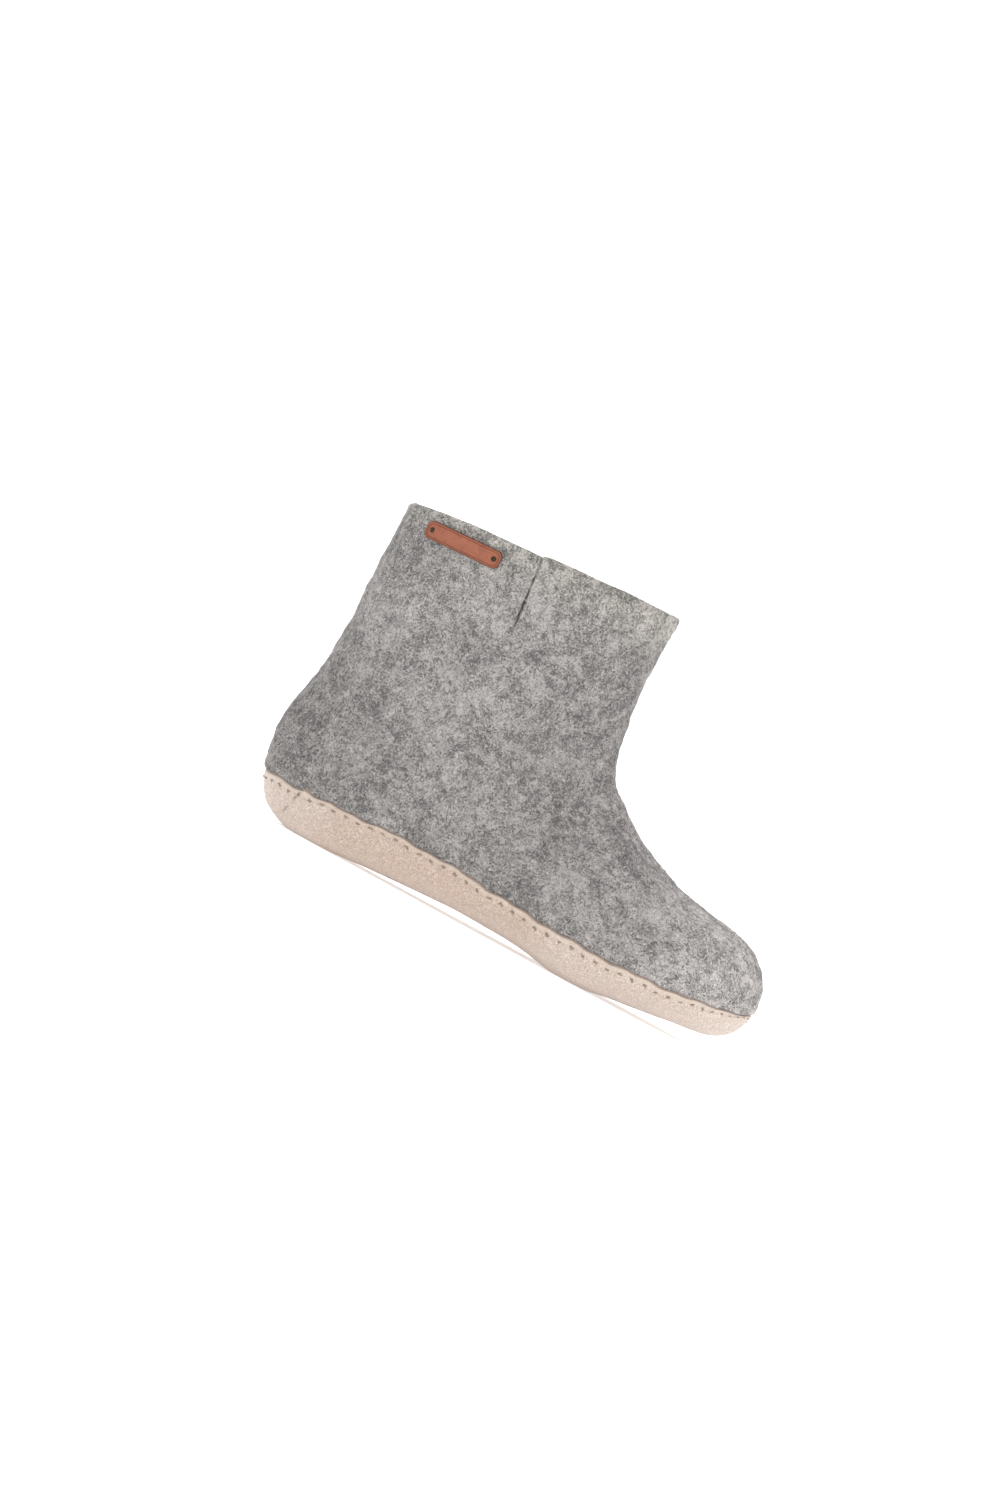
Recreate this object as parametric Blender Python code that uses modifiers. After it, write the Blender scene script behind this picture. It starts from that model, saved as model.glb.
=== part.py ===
"""A felted wool ankle boot with a stitched suede sole, for the right foot.

The toe points along +X, the outer side of the foot faces -Y and +Z is up. The boot stands on
the plane z = 0 with the middle of its outline over the origin. Lengths are in metres.

One function, last_grid, gives the boot's outer skin through sections that swing from upright at
the toe, over heel and instep, to level at the collar. Every soft piece is cut from that skin
moved inwards, so each follows the others when a size changes.
"""

from collections import namedtuple

import bmesh
import bpy
import numpy as np
from mathutils import Matrix, Vector
from mathutils.bvhtree import BVHTree

# Sizes of the last
FOOT_LENGTH = 0.2665
BALL_WIDTH = 0.100
HEEL_WIDTH = 0.079
TOE_HEIGHT = 0.0585
INSTEP_HEIGHT = 0.0875
INSTEP_FROM_HEEL = 0.1617
HEEL_BULGE_HEIGHT = 0.043
HEEL_ROUND = 0.033
NOSE_LENGTH = 0.036
NOSE_HEIGHT = 0.031
NOSE_TOP_SQUARE = 2.1
NOSE_SIDE_SQUARE = 2.3
NOSE_UNDER_SQUARE = 2.75

# Sizes of the shaft
SHAFT_DEPTH = 0.139
SHAFT_WIDTH = 0.086
SHAFT_BACK = 0.0055
BEND_HEIGHT = 0.1345
BACK_HEIGHT = 0.1662
FRONT_HEIGHT = 0.1776
COLLAR_CROWN = 0.0019

# Sizes of the sole
ARCH_LIFT = 0.0031
TOE_SPRING = 0.006
CONTACT_DIP = 0.0016
SOLE_THICKNESS = 0.005
BAND_HEIGHT = 0.020

# Wall thicknesses and clearances
FELT_WALL = 0.0050
SUEDE_WALL = 0.0018
SUEDE_SINK = 0.0007
INSOLE_THICKNESS = 0.0045
GAP = 0.0003

# The slit in the outer side of the collar
SLIT_FROM_HEEL = 0.0738
SLIT_LEAN = 0.0036
SLIT_DEPTH = 0.0365
SLIT_GAPE = 0.0012
SLIT_CLOSED = 0.0004
FLAP_STEP = 0.0014
FLAP_STEP_LENGTH = 0.036

# The leather tag and its rivets
TAG_LENGTH = 0.0380
TAG_HEIGHT = 0.0090
TAG_THICKNESS = 0.0016
TAG_CORNER = 0.0022
TAG_FROM_HEEL = 0.0380
TAG_BELOW_COLLAR = 0.0092
TAG_SLOPE = 0.055
RIVET_FROM_END = 0.0033
RIVET_HEAD_RADIUS = 0.0013
RIVET_HEAD_HEIGHT = 0.0007
RIVET_SHANK_RADIUS = 0.0007
RIVET_CAP_THICKNESS = 0.0005

# Fineness of the faceted skins
RING_POINTS = 40
NOSE_STEPS = 6
STEPS_PER_ROW = 2
LINE_STEPS = 30
REACH = 0.1

# A section is an oval round the straight line from its front point, on the toe, instep or
# shin, to its back point, under the sole or behind the heel. width is its greatest breadth,
# shift moves it and ridge moves its front point towards the big toe, belly is where along the
# line it is widest, and the squares are the powers of its front and back halves.
Section = namedtuple(
    "Section",
    "front_along front_up back_along back_up width shift ridge belly front_square back_square",
)

# Along: share of FOOT_LENGTH. Front up: share of the climb from toe to instep. The back points
# lie on the sole line. Widths, shifts and ridges: share of BALL_WIDTH.
FOREFOOT = (
    Section(1.000, 0.000, 1.000, 0, 0.62, 0.070, 0.000, 0.42, 2.20, 2.80),
    Section(0.940, 0.000, 0.940, 0, 0.77, 0.060, 0.010, 0.40, 2.15, 3.00),
    Section(0.886, 0.010, 0.886, 0, 0.88, 0.045, 0.020, 0.38, 2.10, 3.20),
    Section(0.833, 0.065, 0.830, 0, 0.95, 0.030, 0.030, 0.36, 2.05, 3.40),
    Section(0.769, 0.200, 0.755, 0, 0.99, 0.015, 0.040, 0.34, 2.00, 3.60),
    Section(0.720, 0.380, 0.668, 0, 1.00, 0.005, 0.045, 0.33, 1.95, 3.60),
    Section(0.677, 0.565, 0.560, 0, 0.97, -0.010, 0.050, 0.31, 1.92, 3.60),
    Section(0.640, 0.785, 0.425, 0, 0.88, -0.025, 0.050, 0.29, 1.92, 3.50),
    Section(0.610, 1.000, 0.275, 0, 0.81, -0.020, 0.045, 0.31, 1.95, 3.50),
)

# Front along: share of the run from shaft to instep, and front up of the climb from instep to
# bend. Back along: share of HEEL_ROUND, and back up of HEEL_BULGE_HEIGHT. Widths: of HEEL_WIDTH.
HEEL = (
    Section(0.640, 0.117, 1.000, -0.037, 1.000, -0.010, 0.040, 0.38, 2.00, 3.40),
    Section(0.425, 0.266, 0.424, 0.107, 1.000, 0.000, 0.030, 0.42, 2.05, 2.70),
    Section(0.275, 0.415, 0.200, 0.309, 1.000, 0.000, 0.025, 0.45, 2.10, 2.45),
    Section(0.190, 0.553, 0.100, 0.535, 1.005, 0.000, 0.020, 0.47, 2.15, 2.35),
    Section(0.128, 0.690, 0.006, 0.884, 1.010, 0.000, 0.015, 0.48, 2.20, 2.30),
    Section(0.050, 0.840, 0.024, 1.210, 1.010, 0.000, 0.010, 0.49, 2.25, 2.30),
)

# Front along: share of SHAFT_DEPTH, and front up of the climb from bend to collar. Back along:
# share of SHAFT_BACK, and back up of BACK_HEIGHT. Widths: share of SHAFT_WIDTH.
SHAFT = (
    Section(1.000, 0.000, 0.655, 0.402, 0.935, 0.000, 0.005, 0.50, 2.30, 2.30),
    Section(0.999, 0.200, 1.110, 0.505, 0.945, 0.000, 0.000, 0.50, 2.35, 2.35),
    Section(1.000, 0.405, 1.240, 0.625, 0.960, 0.000, 0.000, 0.50, 2.35, 2.35),
    Section(1.001, 0.640, 1.060, 0.769, 0.975, 0.000, 0.000, 0.50, 2.35, 2.35),
    Section(1.003, 0.835, 1.010, 0.895, 0.990, 0.000, 0.000, 0.50, 2.35, 2.35),
    Section(1.004, 1.000, 0.964, 1.000, 1.000, 0.000, 0.000, 0.50, 2.35, 2.35),
)

# The underside's middle line: shares of FOOT_LENGTH, ARCH_LIFT, TOE_SPRING and CONTACT_DIP
SolePoint = namedtuple("SolePoint", "along arch spring dip")
SOLE_LINE = (
    SolePoint(0.00, 0.00, 0.00, 1.0),
    SolePoint(0.20, 0.00, 0.00, 1.0),
    SolePoint(0.28, 0.35, 0.00, 0.0),
    SolePoint(0.36, 0.80, 0.00, 0.0),
    SolePoint(0.44, 1.00, 0.00, 0.0),
    SolePoint(0.53, 1.00, 0.00, 0.0),
    SolePoint(0.58, 0.50, 0.00, 0.0),
    SolePoint(0.64, 0.00, 0.00, 1.0),
    SolePoint(0.70, 0.00, 0.00, 1.0),
    SolePoint(0.76, 0.00, 0.20, 0.0),
    SolePoint(0.82, 0.00, 0.52, 0.0),
    SolePoint(0.88, 0.00, 0.88, 0.0),
    SolePoint(0.94, 0.00, 0.92, 0.0),
    SolePoint(1.00, 0.00, 0.80, 0.0),
)

# The upper edge of the suede: shares of FOOT_LENGTH and BAND_HEIGHT
EdgePoint = namedtuple("EdgePoint", "along up")
SUEDE_EDGE = (
    EdgePoint(0.00, 1.010),
    EdgePoint(0.10, 1.025),
    EdgePoint(0.20, 1.100),
    EdgePoint(0.28, 1.160),
    EdgePoint(0.37, 1.170),
    EdgePoint(0.45, 1.115),
    EdgePoint(0.55, 1.020),
    EdgePoint(0.66, 0.955),
    EdgePoint(0.76, 0.965),
    EdgePoint(0.87, 1.060),
    EdgePoint(0.94, 1.170),
    EdgePoint(1.00, 1.330),
)

# The slit's gape from collar to point: shares of SLIT_DEPTH, and of the way from closed to gape
GapePoint = namedtuple("GapePoint", "down opened")
SLIT_GAPES = (
    GapePoint(0.00, 0.0),
    GapePoint(0.35, 0.1),
    GapePoint(0.60, 0.8),
    GapePoint(0.75, 1.0),
    GapePoint(0.90, 0.5),
)

PARTS = "wool_boot"
CUTTERS = "cutters"


def clear_scene():
    for old in list(bpy.data.objects):
        bpy.data.objects.remove(old)
    for name in (PARTS, CUTTERS):
        collection = bpy.data.collections.new(name)
        bpy.context.scene.collection.children.link(collection)


def through_rows(rows, t):
    """Smooth curve through the rows of an array, at row numbers t (Catmull-Rom)."""
    top = len(rows) - 1
    i = np.clip(np.floor(t).astype(int), 0, top - 1)
    f = (t - i)[:, None]
    here, after = rows[i], rows[i + 1]
    before = np.where((i > 0)[:, None], rows[np.maximum(i - 1, 0)], 2 * here - after)
    beyond = np.where((i < top - 1)[:, None], rows[np.minimum(i + 2, top)], 2 * after - here)
    return 0.5 * (
        2 * here
        + (after - before) * f
        + (2 * before - 5 * here + 4 * after - beyond) * f**2
        + (3 * here - 3 * after + beyond - before) * f**3
    )


def smooth_line(along, values, x):
    """Smooth height over x through points (along, values), with cubic pieces that share slopes."""
    slope = np.gradient(values, along)
    i = np.clip(np.searchsorted(along, x) - 1, 0, len(along) - 2)
    run = along[i + 1] - along[i]
    f = np.clip((x - along[i]) / run, 0, 1)
    return (
        (2 * f**3 - 3 * f**2 + 1) * values[i]
        + (f**3 - 2 * f**2 + f) * run * slope[i]
        + (3 * f**2 - 2 * f**3) * values[i + 1]
        + (f**3 - f**2) * run * slope[i + 1]
    )


def sole_line(x, dip=CONTACT_DIP):
    """Height of the underside's middle line, x metres ahead of the heel. Heel and ball dip
    below the ground, which later cuts them flat."""
    rows = np.array(SOLE_LINE)
    heights = rows[:, 1] * ARCH_LIFT + rows[:, 2] * TOE_SPRING - rows[:, 3] * dip
    return smooth_line(rows[:, 0] * FOOT_LENGTH, heights, x)


def suede_edge(x):
    """Height of the suede's upper edge, x metres ahead of the heel."""
    rows = np.array(SUEDE_EDGE)
    return smooth_line(rows[:, 0] * FOOT_LENGTH, rows[:, 1] * BAND_HEIGHT, x)


def floor_line(x):
    """Height of the sole's upper face, which carries the felt and the insole."""
    return sole_line(x, 0) + SOLE_THICKNESS


def section_rows():
    """The three tables as rows of front x, front z, back x, back z and half width in metres,
    followed by shift, ridge, belly and the squares."""
    shaft_front = SHAFT_BACK + SHAFT_DEPTH
    rows = []
    for s in FOREFOOT:
        front = (s.front_along * FOOT_LENGTH, TOE_HEIGHT + s.front_up * (INSTEP_HEIGHT - TOE_HEIGHT))
        back_x = s.back_along * FOOT_LENGTH
        rows.append((*front, back_x, float(sole_line(back_x)), s.width * BALL_WIDTH / 2, *s[5:]))
    for s in HEEL:
        front_x = shaft_front + s.front_along * (INSTEP_FROM_HEEL - shaft_front)
        front_z = INSTEP_HEIGHT + s.front_up * (BEND_HEIGHT - INSTEP_HEIGHT)
        back = (s.back_along * HEEL_ROUND, s.back_up * HEEL_BULGE_HEIGHT)
        rows.append((front_x, front_z, *back, s.width * HEEL_WIDTH / 2, *s[5:]))
    for s in SHAFT:
        front_x = SHAFT_BACK + s.front_along * SHAFT_DEPTH
        front_z = BEND_HEIGHT + s.front_up * (FRONT_HEIGHT - BEND_HEIGHT)
        back = (s.back_along * SHAFT_BACK, s.back_up * BACK_HEIGHT)
        rows.append((front_x, front_z, *back, s.width * SHAFT_WIDTH / 2, *s[5:]))
    return np.array(rows)


def section_numbers(rows):
    """Row numbers at which sections are drawn: close together on the nose, then evenly."""
    fine = np.linspace(0, len(FOREFOOT) - 1, 400)
    nose_x = FOOT_LENGTH - NOSE_LENGTH * (1 - np.cos(np.linspace(0, np.pi / 2, NOSE_STEPS + 1)))
    nose = np.interp(-nose_x, -through_rows(rows, fine)[:, 0], fine)
    first = np.ceil(nose[-1] * STEPS_PER_ROW + 0.5) / STEPS_PER_ROW
    body = np.arange(first, len(rows) - 1 + 0.25 / STEPS_PER_ROW, 1 / STEPS_PER_ROW)
    return np.concatenate([nose, body])


def raw_grid():
    """The last's skin as an array (section, point round it, xyz), from toe to collar."""
    rows = section_rows()
    t = section_numbers(rows)
    columns = through_rows(rows, t).T[:, :, None]
    front_x, front_z, back_x, back_z, half, shift, ridge, belly, n_front, n_back = columns
    to_tip = np.clip((FOOT_LENGTH - front_x) / NOSE_LENGTH, 0, 1)
    squares = (NOSE_TOP_SQUARE, NOSE_SIDE_SQUARE, NOSE_UNDER_SQUARE)
    over, nose, under = [(1 - (1 - to_tip) ** n) ** (1 / n) for n in squares]
    front_z = NOSE_HEIGHT + (front_z - NOSE_HEIGHT) * over
    back_z = NOSE_HEIGHT + (back_z - NOSE_HEIGHT) * under
    back_x = np.where(to_tip < 1, np.maximum(back_x, front_x), back_x)
    angle = np.linspace(0, 2 * np.pi, RING_POINTS, endpoint=False)[None, :]
    power = 2 / np.where(np.sin(angle) > 0, n_front, n_back)
    side = np.sign(np.cos(angle)) * np.abs(np.cos(angle)) ** power
    ahead = np.abs(np.sin(angle)) ** power
    share = np.where(np.sin(angle) > 0, belly + (1 - belly) * ahead, belly * (1 - ahead))
    near_collar = np.clip(t[:, None] - (len(rows) - 2), 0, 1)
    crown = COLLAR_CROWN * 4 * share * (1 - share) * near_collar * (side < 0)
    x = back_x + (front_x - back_x) * share
    y = side * half * nose + (shift + ridge * np.clip(share - belly, 0, 1)) * BALL_WIDTH
    z = back_z + (front_z - back_z) * share + crown
    return np.stack([x, y, z], axis=2)


RAW = raw_grid()
MIDDLE_X = (RAW[:, :, 0].max() + RAW[:, :, 0].min()) / 2
MIDDLE_Y = (RAW[:, :, 1].max() + RAW[:, :, 1].min()) / 2


def skin_normals(grid):
    """Outward unit normals of a grid of sections."""
    round_it = np.roll(grid, -1, axis=1) - np.roll(grid, 1, axis=1)
    upwards = np.gradient(grid, axis=0)
    normals = np.cross(upwards, round_it)
    normals[0] = (1, 0, 0)
    return normals / np.maximum(np.linalg.norm(normals, axis=2, keepdims=True), 1e-9)


def last_grid(inwards):
    """The last's skin moved inwards, in the boot's own frame, with its middle over the origin."""
    grid = RAW - np.array([MIDDLE_X, MIDDLE_Y, 0])
    return grid - inwards * skin_normals(grid)


def add_part(name, mesh, collection=PARTS):
    obj = bpy.data.objects.new(name, mesh)
    bpy.data.collections[collection].objects.link(obj)
    return obj


def hide(obj):
    obj.hide_render = True
    obj.display_type = "WIRE"
    return obj


def mesh_from(name, points, faces):
    """Closed mesh with its faces turned outwards."""
    mesh = bpy.data.meshes.new(name)
    mesh.from_pydata([tuple(p) for p in points], [], faces)
    build = bmesh.new()
    build.from_mesh(mesh)
    bmesh.ops.remove_doubles(build, verts=build.verts, dist=1e-7)
    bmesh.ops.recalc_face_normals(build, faces=build.faces)
    build.to_mesh(mesh)
    build.free()
    return mesh


def last_solid(name, inwards, collar_rings, collection=CUTTERS):
    """The last as a closed body, its skin moved inwards. collar_rings are further rings above
    or inside the collar, and the last of them is closed with a fan."""
    grid = np.concatenate([last_grid(inwards), *[ring[None] for ring in collar_rings]])
    rings, count = grid.shape[:2]
    points = grid.reshape(-1, 3)
    middle = grid[-1].mean(axis=0)
    points = np.concatenate([points, middle[None]])
    quads = [
        (r * count + k, r * count + (k + 1) % count, (r + 1) * count + (k + 1) % count, (r + 1) * count + k)
        for r in range(rings - 1)
        for k in range(count)
    ]
    last = (rings - 1) * count
    fan = [(last + k, last + (k + 1) % count, len(points) - 1) for k in range(count)]
    return add_part(name, mesh_from(name, points, quads + fan), collection)


def open_ended(name, inwards):
    """The last moved inwards, and carried on straight up past the collar, for hollowing."""
    collar = last_grid(inwards)[-1]
    return hide(last_solid(name, inwards, [collar + np.array([0, 0, REACH / 4])]))


def slab(name, line, raised=0.0):
    """Everything under a line over the boot's length, as wide as the reach."""
    x = np.linspace(-REACH / 2, FOOT_LENGTH + REACH / 2, LINE_STEPS + 1)
    over = line(np.clip(x, 0, FOOT_LENGTH)) + raised
    outline = [*zip(x, over), (x[-1], -REACH / 2), (x[0], -REACH / 2)]
    return hide(prism(name, outline, -REACH, REACH))


def prism(name, outline, low_y, high_y):
    """A body with this outline, given as x ahead of the heel and z, between two values of y."""
    build = bmesh.new()
    ring = [build.verts.new((x - MIDDLE_X, low_y, z)) for x, z in outline]
    face = build.faces.new(ring)
    moved = bmesh.ops.extrude_face_region(build, geom=[face])["geom"]
    verts = [v for v in moved if isinstance(v, bmesh.types.BMVert)]
    bmesh.ops.translate(build, verts=verts, vec=(0, high_y - low_y, 0))
    bmesh.ops.recalc_face_normals(build, faces=build.faces)
    mesh = bpy.data.meshes.new(name)
    build.to_mesh(mesh)
    build.free()
    return add_part(name, mesh, CUTTERS)


def boolean(obj, operation, other):
    modifier = obj.modifiers.new(other.name, "BOOLEAN")
    modifier.operation = operation
    modifier.object = other
    modifier.solver = "EXACT"


def material(name, colour, roughness, metallic=0.0):
    made = bpy.data.materials.new(name)
    made.use_nodes = True
    shader = made.node_tree.nodes["Principled BSDF"]
    shader.inputs["Base Color"].default_value = (*colour, 1)
    shader.inputs["Roughness"].default_value = roughness
    shader.inputs["Metallic"].default_value = metallic
    return made


def make_outsole():
    """The suede tray: a floor and a thin side wall that rises to the stitched edge."""
    rim = last_grid(SUEDE_SINK)[-1] + np.array([0, 0, REACH / 4])
    outsole = last_solid("outsole", SUEDE_SINK, [rim], PARTS)
    boolean(outsole, "INTERSECT", slab("under_suede_edge", suede_edge))
    tray = open_ended("tray_space", SUEDE_SINK + SUEDE_WALL)
    boolean(tray, "DIFFERENCE", slab("under_floor", floor_line))
    boolean(outsole, "DIFFERENCE", tray)
    far = FOOT_LENGTH + REACH
    ground = prism("ground", [(-REACH, 0), (-REACH, -REACH), (far, -REACH), (far, 0)], -REACH, REACH)
    boolean(outsole, "DIFFERENCE", hide(ground))
    outsole.data.materials.append(material("suede", (0.69, 0.58, 0.49), 0.9))
    return outsole


def make_insole():
    """The felt footbed that lies on the sole's floor, inside the felt wall."""
    rim = last_grid(FELT_WALL + GAP)[-1] + np.array([0, 0, REACH / 4])
    insole = last_solid("insole", FELT_WALL + GAP, [rim], PARTS)
    boolean(insole, "INTERSECT", slab("under_insole_top", floor_line, GAP + INSOLE_THICKNESS))
    boolean(insole, "DIFFERENCE", slab("under_insole", floor_line, GAP))
    insole.data.materials.append(material("insole_felt", (0.36, 0.35, 0.34), 1.0))
    return insole


def slit_outline():
    """The slit seen from the side: closed at the collar, gaping lower down, and pointed."""
    gapes = np.array(SLIT_GAPES)
    collar_z = BACK_HEIGHT + (FRONT_HEIGHT - BACK_HEIGHT) * (SLIT_FROM_HEEL - SHAFT_BACK) / SHAFT_DEPTH
    z = collar_z - gapes[:, 0] * SLIT_DEPTH
    x = SLIT_FROM_HEEL + gapes[:, 0] * SLIT_LEAN
    half = (SLIT_CLOSED + gapes[:, 1] * (SLIT_GAPE - SLIT_CLOSED)) / 2
    above = collar_z + REACH / 4
    front = [(SLIT_FROM_HEEL + SLIT_CLOSED / 2, above), *zip(x + half, z)]
    point = (SLIT_FROM_HEEL + SLIT_LEAN, collar_z - SLIT_DEPTH)
    back = [(SLIT_FROM_HEEL - SLIT_CLOSED / 2, above), *zip(x - half, z)]
    return [*front, point, *back[::-1]], collar_z


def make_upper():
    """The felted wool boot: one hollow wall, open at the collar and underneath."""
    collar = last_grid(0)[-1]
    inside = last_grid(2 * FELT_WALL)[-1]
    inside[:, 2] = collar[:, 2]
    upper = last_solid("upper", 0, [inside], PARTS)
    boolean(upper, "DIFFERENCE", open_ended("foot_space", FELT_WALL))
    sole_space = slab("sole_space", suede_edge, GAP)
    kept = open_ended("felt_in_sole", SUEDE_SINK + SUEDE_WALL + GAP)
    boolean(kept, "DIFFERENCE", slab("felt_foot", floor_line, GAP))
    boolean(sole_space, "DIFFERENCE", kept)
    boolean(upper, "DIFFERENCE", sole_space)
    outline, collar_z = slit_outline()
    boolean(upper, "DIFFERENCE", hide(prism("slit", outline, -REACH, 0)))
    low = collar_z + COLLAR_CROWN - FLAP_STEP
    fall = (FRONT_HEIGHT - BACK_HEIGHT) * FLAP_STEP_LENGTH / SHAFT_DEPTH
    flap = [
        (SLIT_FROM_HEEL, low),
        (SLIT_FROM_HEEL, low + REACH / 4),
        (SLIT_FROM_HEEL - FLAP_STEP_LENGTH, low + REACH / 4),
        (SLIT_FROM_HEEL - FLAP_STEP_LENGTH, low - fall + FLAP_STEP),
    ]
    boolean(upper, "DIFFERENCE", hide(prism("rear_flap_top", flap, -REACH, 0)))
    upper.data.materials.append(material("felt", (0.36, 0.35, 0.345), 1.0))
    return upper


def outer_side():
    """The last's bare skin, to find where the outer side of the shaft lies."""
    grid = last_grid(0)
    rings, count = grid.shape[:2]
    quads = [
        (r * count + k, r * count + (k + 1) % count, (r + 1) * count + (k + 1) % count, (r + 1) * count + k)
        for r in range(1, rings - 1)
        for k in range(count)
    ]
    return BVHTree.FromPolygons([tuple(p) for p in grid.reshape(-1, 3)], quads)


def on_outer_side(tree, x, z):
    """Point and outward normal of the skin's outer side at x ahead of the heel and height z."""
    point, normal, _, _ = tree.ray_cast(Vector((x - MIDDLE_X, -REACH, z)), Vector((0, 1, 0)))
    return point, normal if normal.y < 0 else -normal


def tag_outline():
    """The tag's flat shape, lengthwise and across, with clipped round corners."""
    half, tall = TAG_LENGTH / 2, TAG_HEIGHT / 2
    points = []
    for quarter, (sx, sy) in enumerate(((1, 1), (-1, 1), (-1, -1), (1, -1))):
        for step in range(3):
            a = (quarter + step / 2) * np.pi / 2
            along = sx * (half - TAG_CORNER) + TAG_CORNER * np.cos(a)
            across = sy * (tall - TAG_CORNER) + TAG_CORNER * np.sin(a)
            points.append((along, across))
    return points


def tag_place(along, across):
    """Side-view place of a point of the tag: x ahead of the heel, and z."""
    collar = BACK_HEIGHT + (FRONT_HEIGHT - BACK_HEIGHT) * (TAG_FROM_HEEL - SHAFT_BACK) / SHAFT_DEPTH
    x = TAG_FROM_HEEL + along - across * TAG_SLOPE
    return x, collar - TAG_BELOW_COLLAR + across + along * TAG_SLOPE


def rivet_places():
    return {
        "rivet_rear": (RIVET_FROM_END - TAG_LENGTH / 2, 0.0),
        "rivet_front": (TAG_LENGTH / 2 - RIVET_FROM_END, 0.0),
    }


def make_tag(tree):
    """The leather tag: its outline laid on the felt's outer side, and thickened outwards."""
    build = bmesh.new()
    flat = [build.verts.new((a, b, 0)) for a, b in tag_outline()]
    build.faces.new(flat)
    lines = int(TAG_LENGTH / 0.003)
    for step in range(1, lines):
        place = Vector((TAG_LENGTH * (step / lines - 0.5), 0, 0))
        geometry = build.verts[:] + build.edges[:] + build.faces[:]
        bmesh.ops.bisect_plane(build, geom=geometry, plane_co=place, plane_no=(1, 0, 0))
    for vert in build.verts:
        x, z = tag_place(vert.co.x, vert.co.y)
        point, normal = on_outer_side(tree, x, z)
        vert.co = point + normal * GAP
    outwards = build.faces[:]
    bmesh.ops.recalc_face_normals(build, faces=outwards)
    if sum(face.normal.y for face in outwards) > 0:
        bmesh.ops.reverse_faces(build, faces=outwards)
    mesh = bpy.data.meshes.new("tag")
    build.to_mesh(mesh)
    build.free()
    tag = add_part("tag", mesh)
    thick = tag.modifiers.new("thickness", "SOLIDIFY")
    thick.thickness = TAG_THICKNESS
    thick.offset = 1
    tag.data.materials.append(material("tag_leather", (0.45, 0.17, 0.08), 0.6))
    return tag


def turned(name, profile, steps, collection=PARTS):
    """A body turned round Z from (radius, height) points that run down its outer side."""
    mesh = bpy.data.meshes.new(name)
    mesh.from_pydata([(r, 0, z) for r, z in profile], [(i, i + 1) for i in range(len(profile) - 1)], [])
    obj = add_part(name, mesh, collection)
    screw = obj.modifiers.new("turn", "SCREW")
    screw.steps = steps
    screw.render_steps = steps
    screw.use_merge_vertices = True
    screw.merge_threshold = 1e-5
    return obj


def facing(point, normal):
    """Placement with Z along the normal."""
    return Matrix.Translation(point) @ normal.to_track_quat("Z", "Y").to_matrix().to_4x4()


def make_rivets(tree, tag, upper):
    """Two rivets through tag and felt, each with its hole in both."""
    metal = material("rivet_bronze", (0.07, 0.045, 0.03), 0.45, 0.8)
    outside = GAP + TAG_THICKNESS + GAP
    inside = -FELT_WALL - GAP
    for name, (along, across) in rivet_places().items():
        point, normal = on_outer_side(tree, *tag_place(along, across))
        profile = [
            (0, outside + RIVET_HEAD_HEIGHT),
            (RIVET_HEAD_RADIUS * 0.6, outside + RIVET_HEAD_HEIGHT * 0.8),
            (RIVET_HEAD_RADIUS, outside + RIVET_HEAD_HEIGHT * 0.25),
            (RIVET_HEAD_RADIUS, outside),
            (RIVET_SHANK_RADIUS, outside),
            (RIVET_SHANK_RADIUS, inside),
            (RIVET_HEAD_RADIUS, inside),
            (RIVET_HEAD_RADIUS, inside - RIVET_CAP_THICKNESS),
            (0, inside - RIVET_CAP_THICKNESS),
        ]
        rivet = turned(name, profile, 16)
        rivet.matrix_world = facing(point, normal)
        rivet.data.materials.append(metal)
        bore = RIVET_SHANK_RADIUS + GAP
        out, into = REACH / 20, -REACH / 10
        hole = turned(name + "_hole", [(0, out), (bore, out), (bore, into), (0, into)], 12, CUTTERS)
        hole.matrix_world = facing(point, normal)
        boolean(tag, "DIFFERENCE", hide(hole))
        boolean(upper, "DIFFERENCE", hole)


def shade(obj):
    obj.data.shade_smooth()
    obj.data.set_sharp_from_angle(angle=np.radians(40))


def main():
    clear_scene()
    make_outsole()
    make_insole()
    upper = make_upper()
    tree = outer_side()
    tag = make_tag(tree)
    make_rivets(tree, tag, upper)
    for obj in bpy.data.collections[PARTS].objects:
        shade(obj)


main()
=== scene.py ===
"""Looks of the felted wool boot: felt, suede, thread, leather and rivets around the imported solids.

The boot's outer skin is one function, Last, of a section number and an angle round the section.
Felt, suede, thread and tag are all grids worked out on that skin. Lengths are in metres.
"""

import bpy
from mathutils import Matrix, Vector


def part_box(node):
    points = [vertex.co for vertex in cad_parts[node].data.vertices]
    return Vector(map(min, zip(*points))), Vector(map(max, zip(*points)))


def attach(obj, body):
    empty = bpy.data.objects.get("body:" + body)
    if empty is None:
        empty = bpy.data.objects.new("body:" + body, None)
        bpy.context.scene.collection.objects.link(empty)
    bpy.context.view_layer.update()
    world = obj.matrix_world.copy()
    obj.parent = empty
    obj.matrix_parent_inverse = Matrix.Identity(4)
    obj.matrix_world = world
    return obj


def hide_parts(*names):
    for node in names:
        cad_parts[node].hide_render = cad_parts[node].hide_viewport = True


bl_info = {
    "name": "Wool Boot",
    "version": (1, 0, 0),
    "blender": (4, 5, 0),
    "location": "View3D > Sidebar > Wool Boot",
    "description": "Builds the felt, the suede sole, the stitching and the tag of a wool boot",
    "category": "Object",
}

from collections import namedtuple

import bmesh
import bpy
import numpy as np
from mathutils import Matrix, Vector

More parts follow.
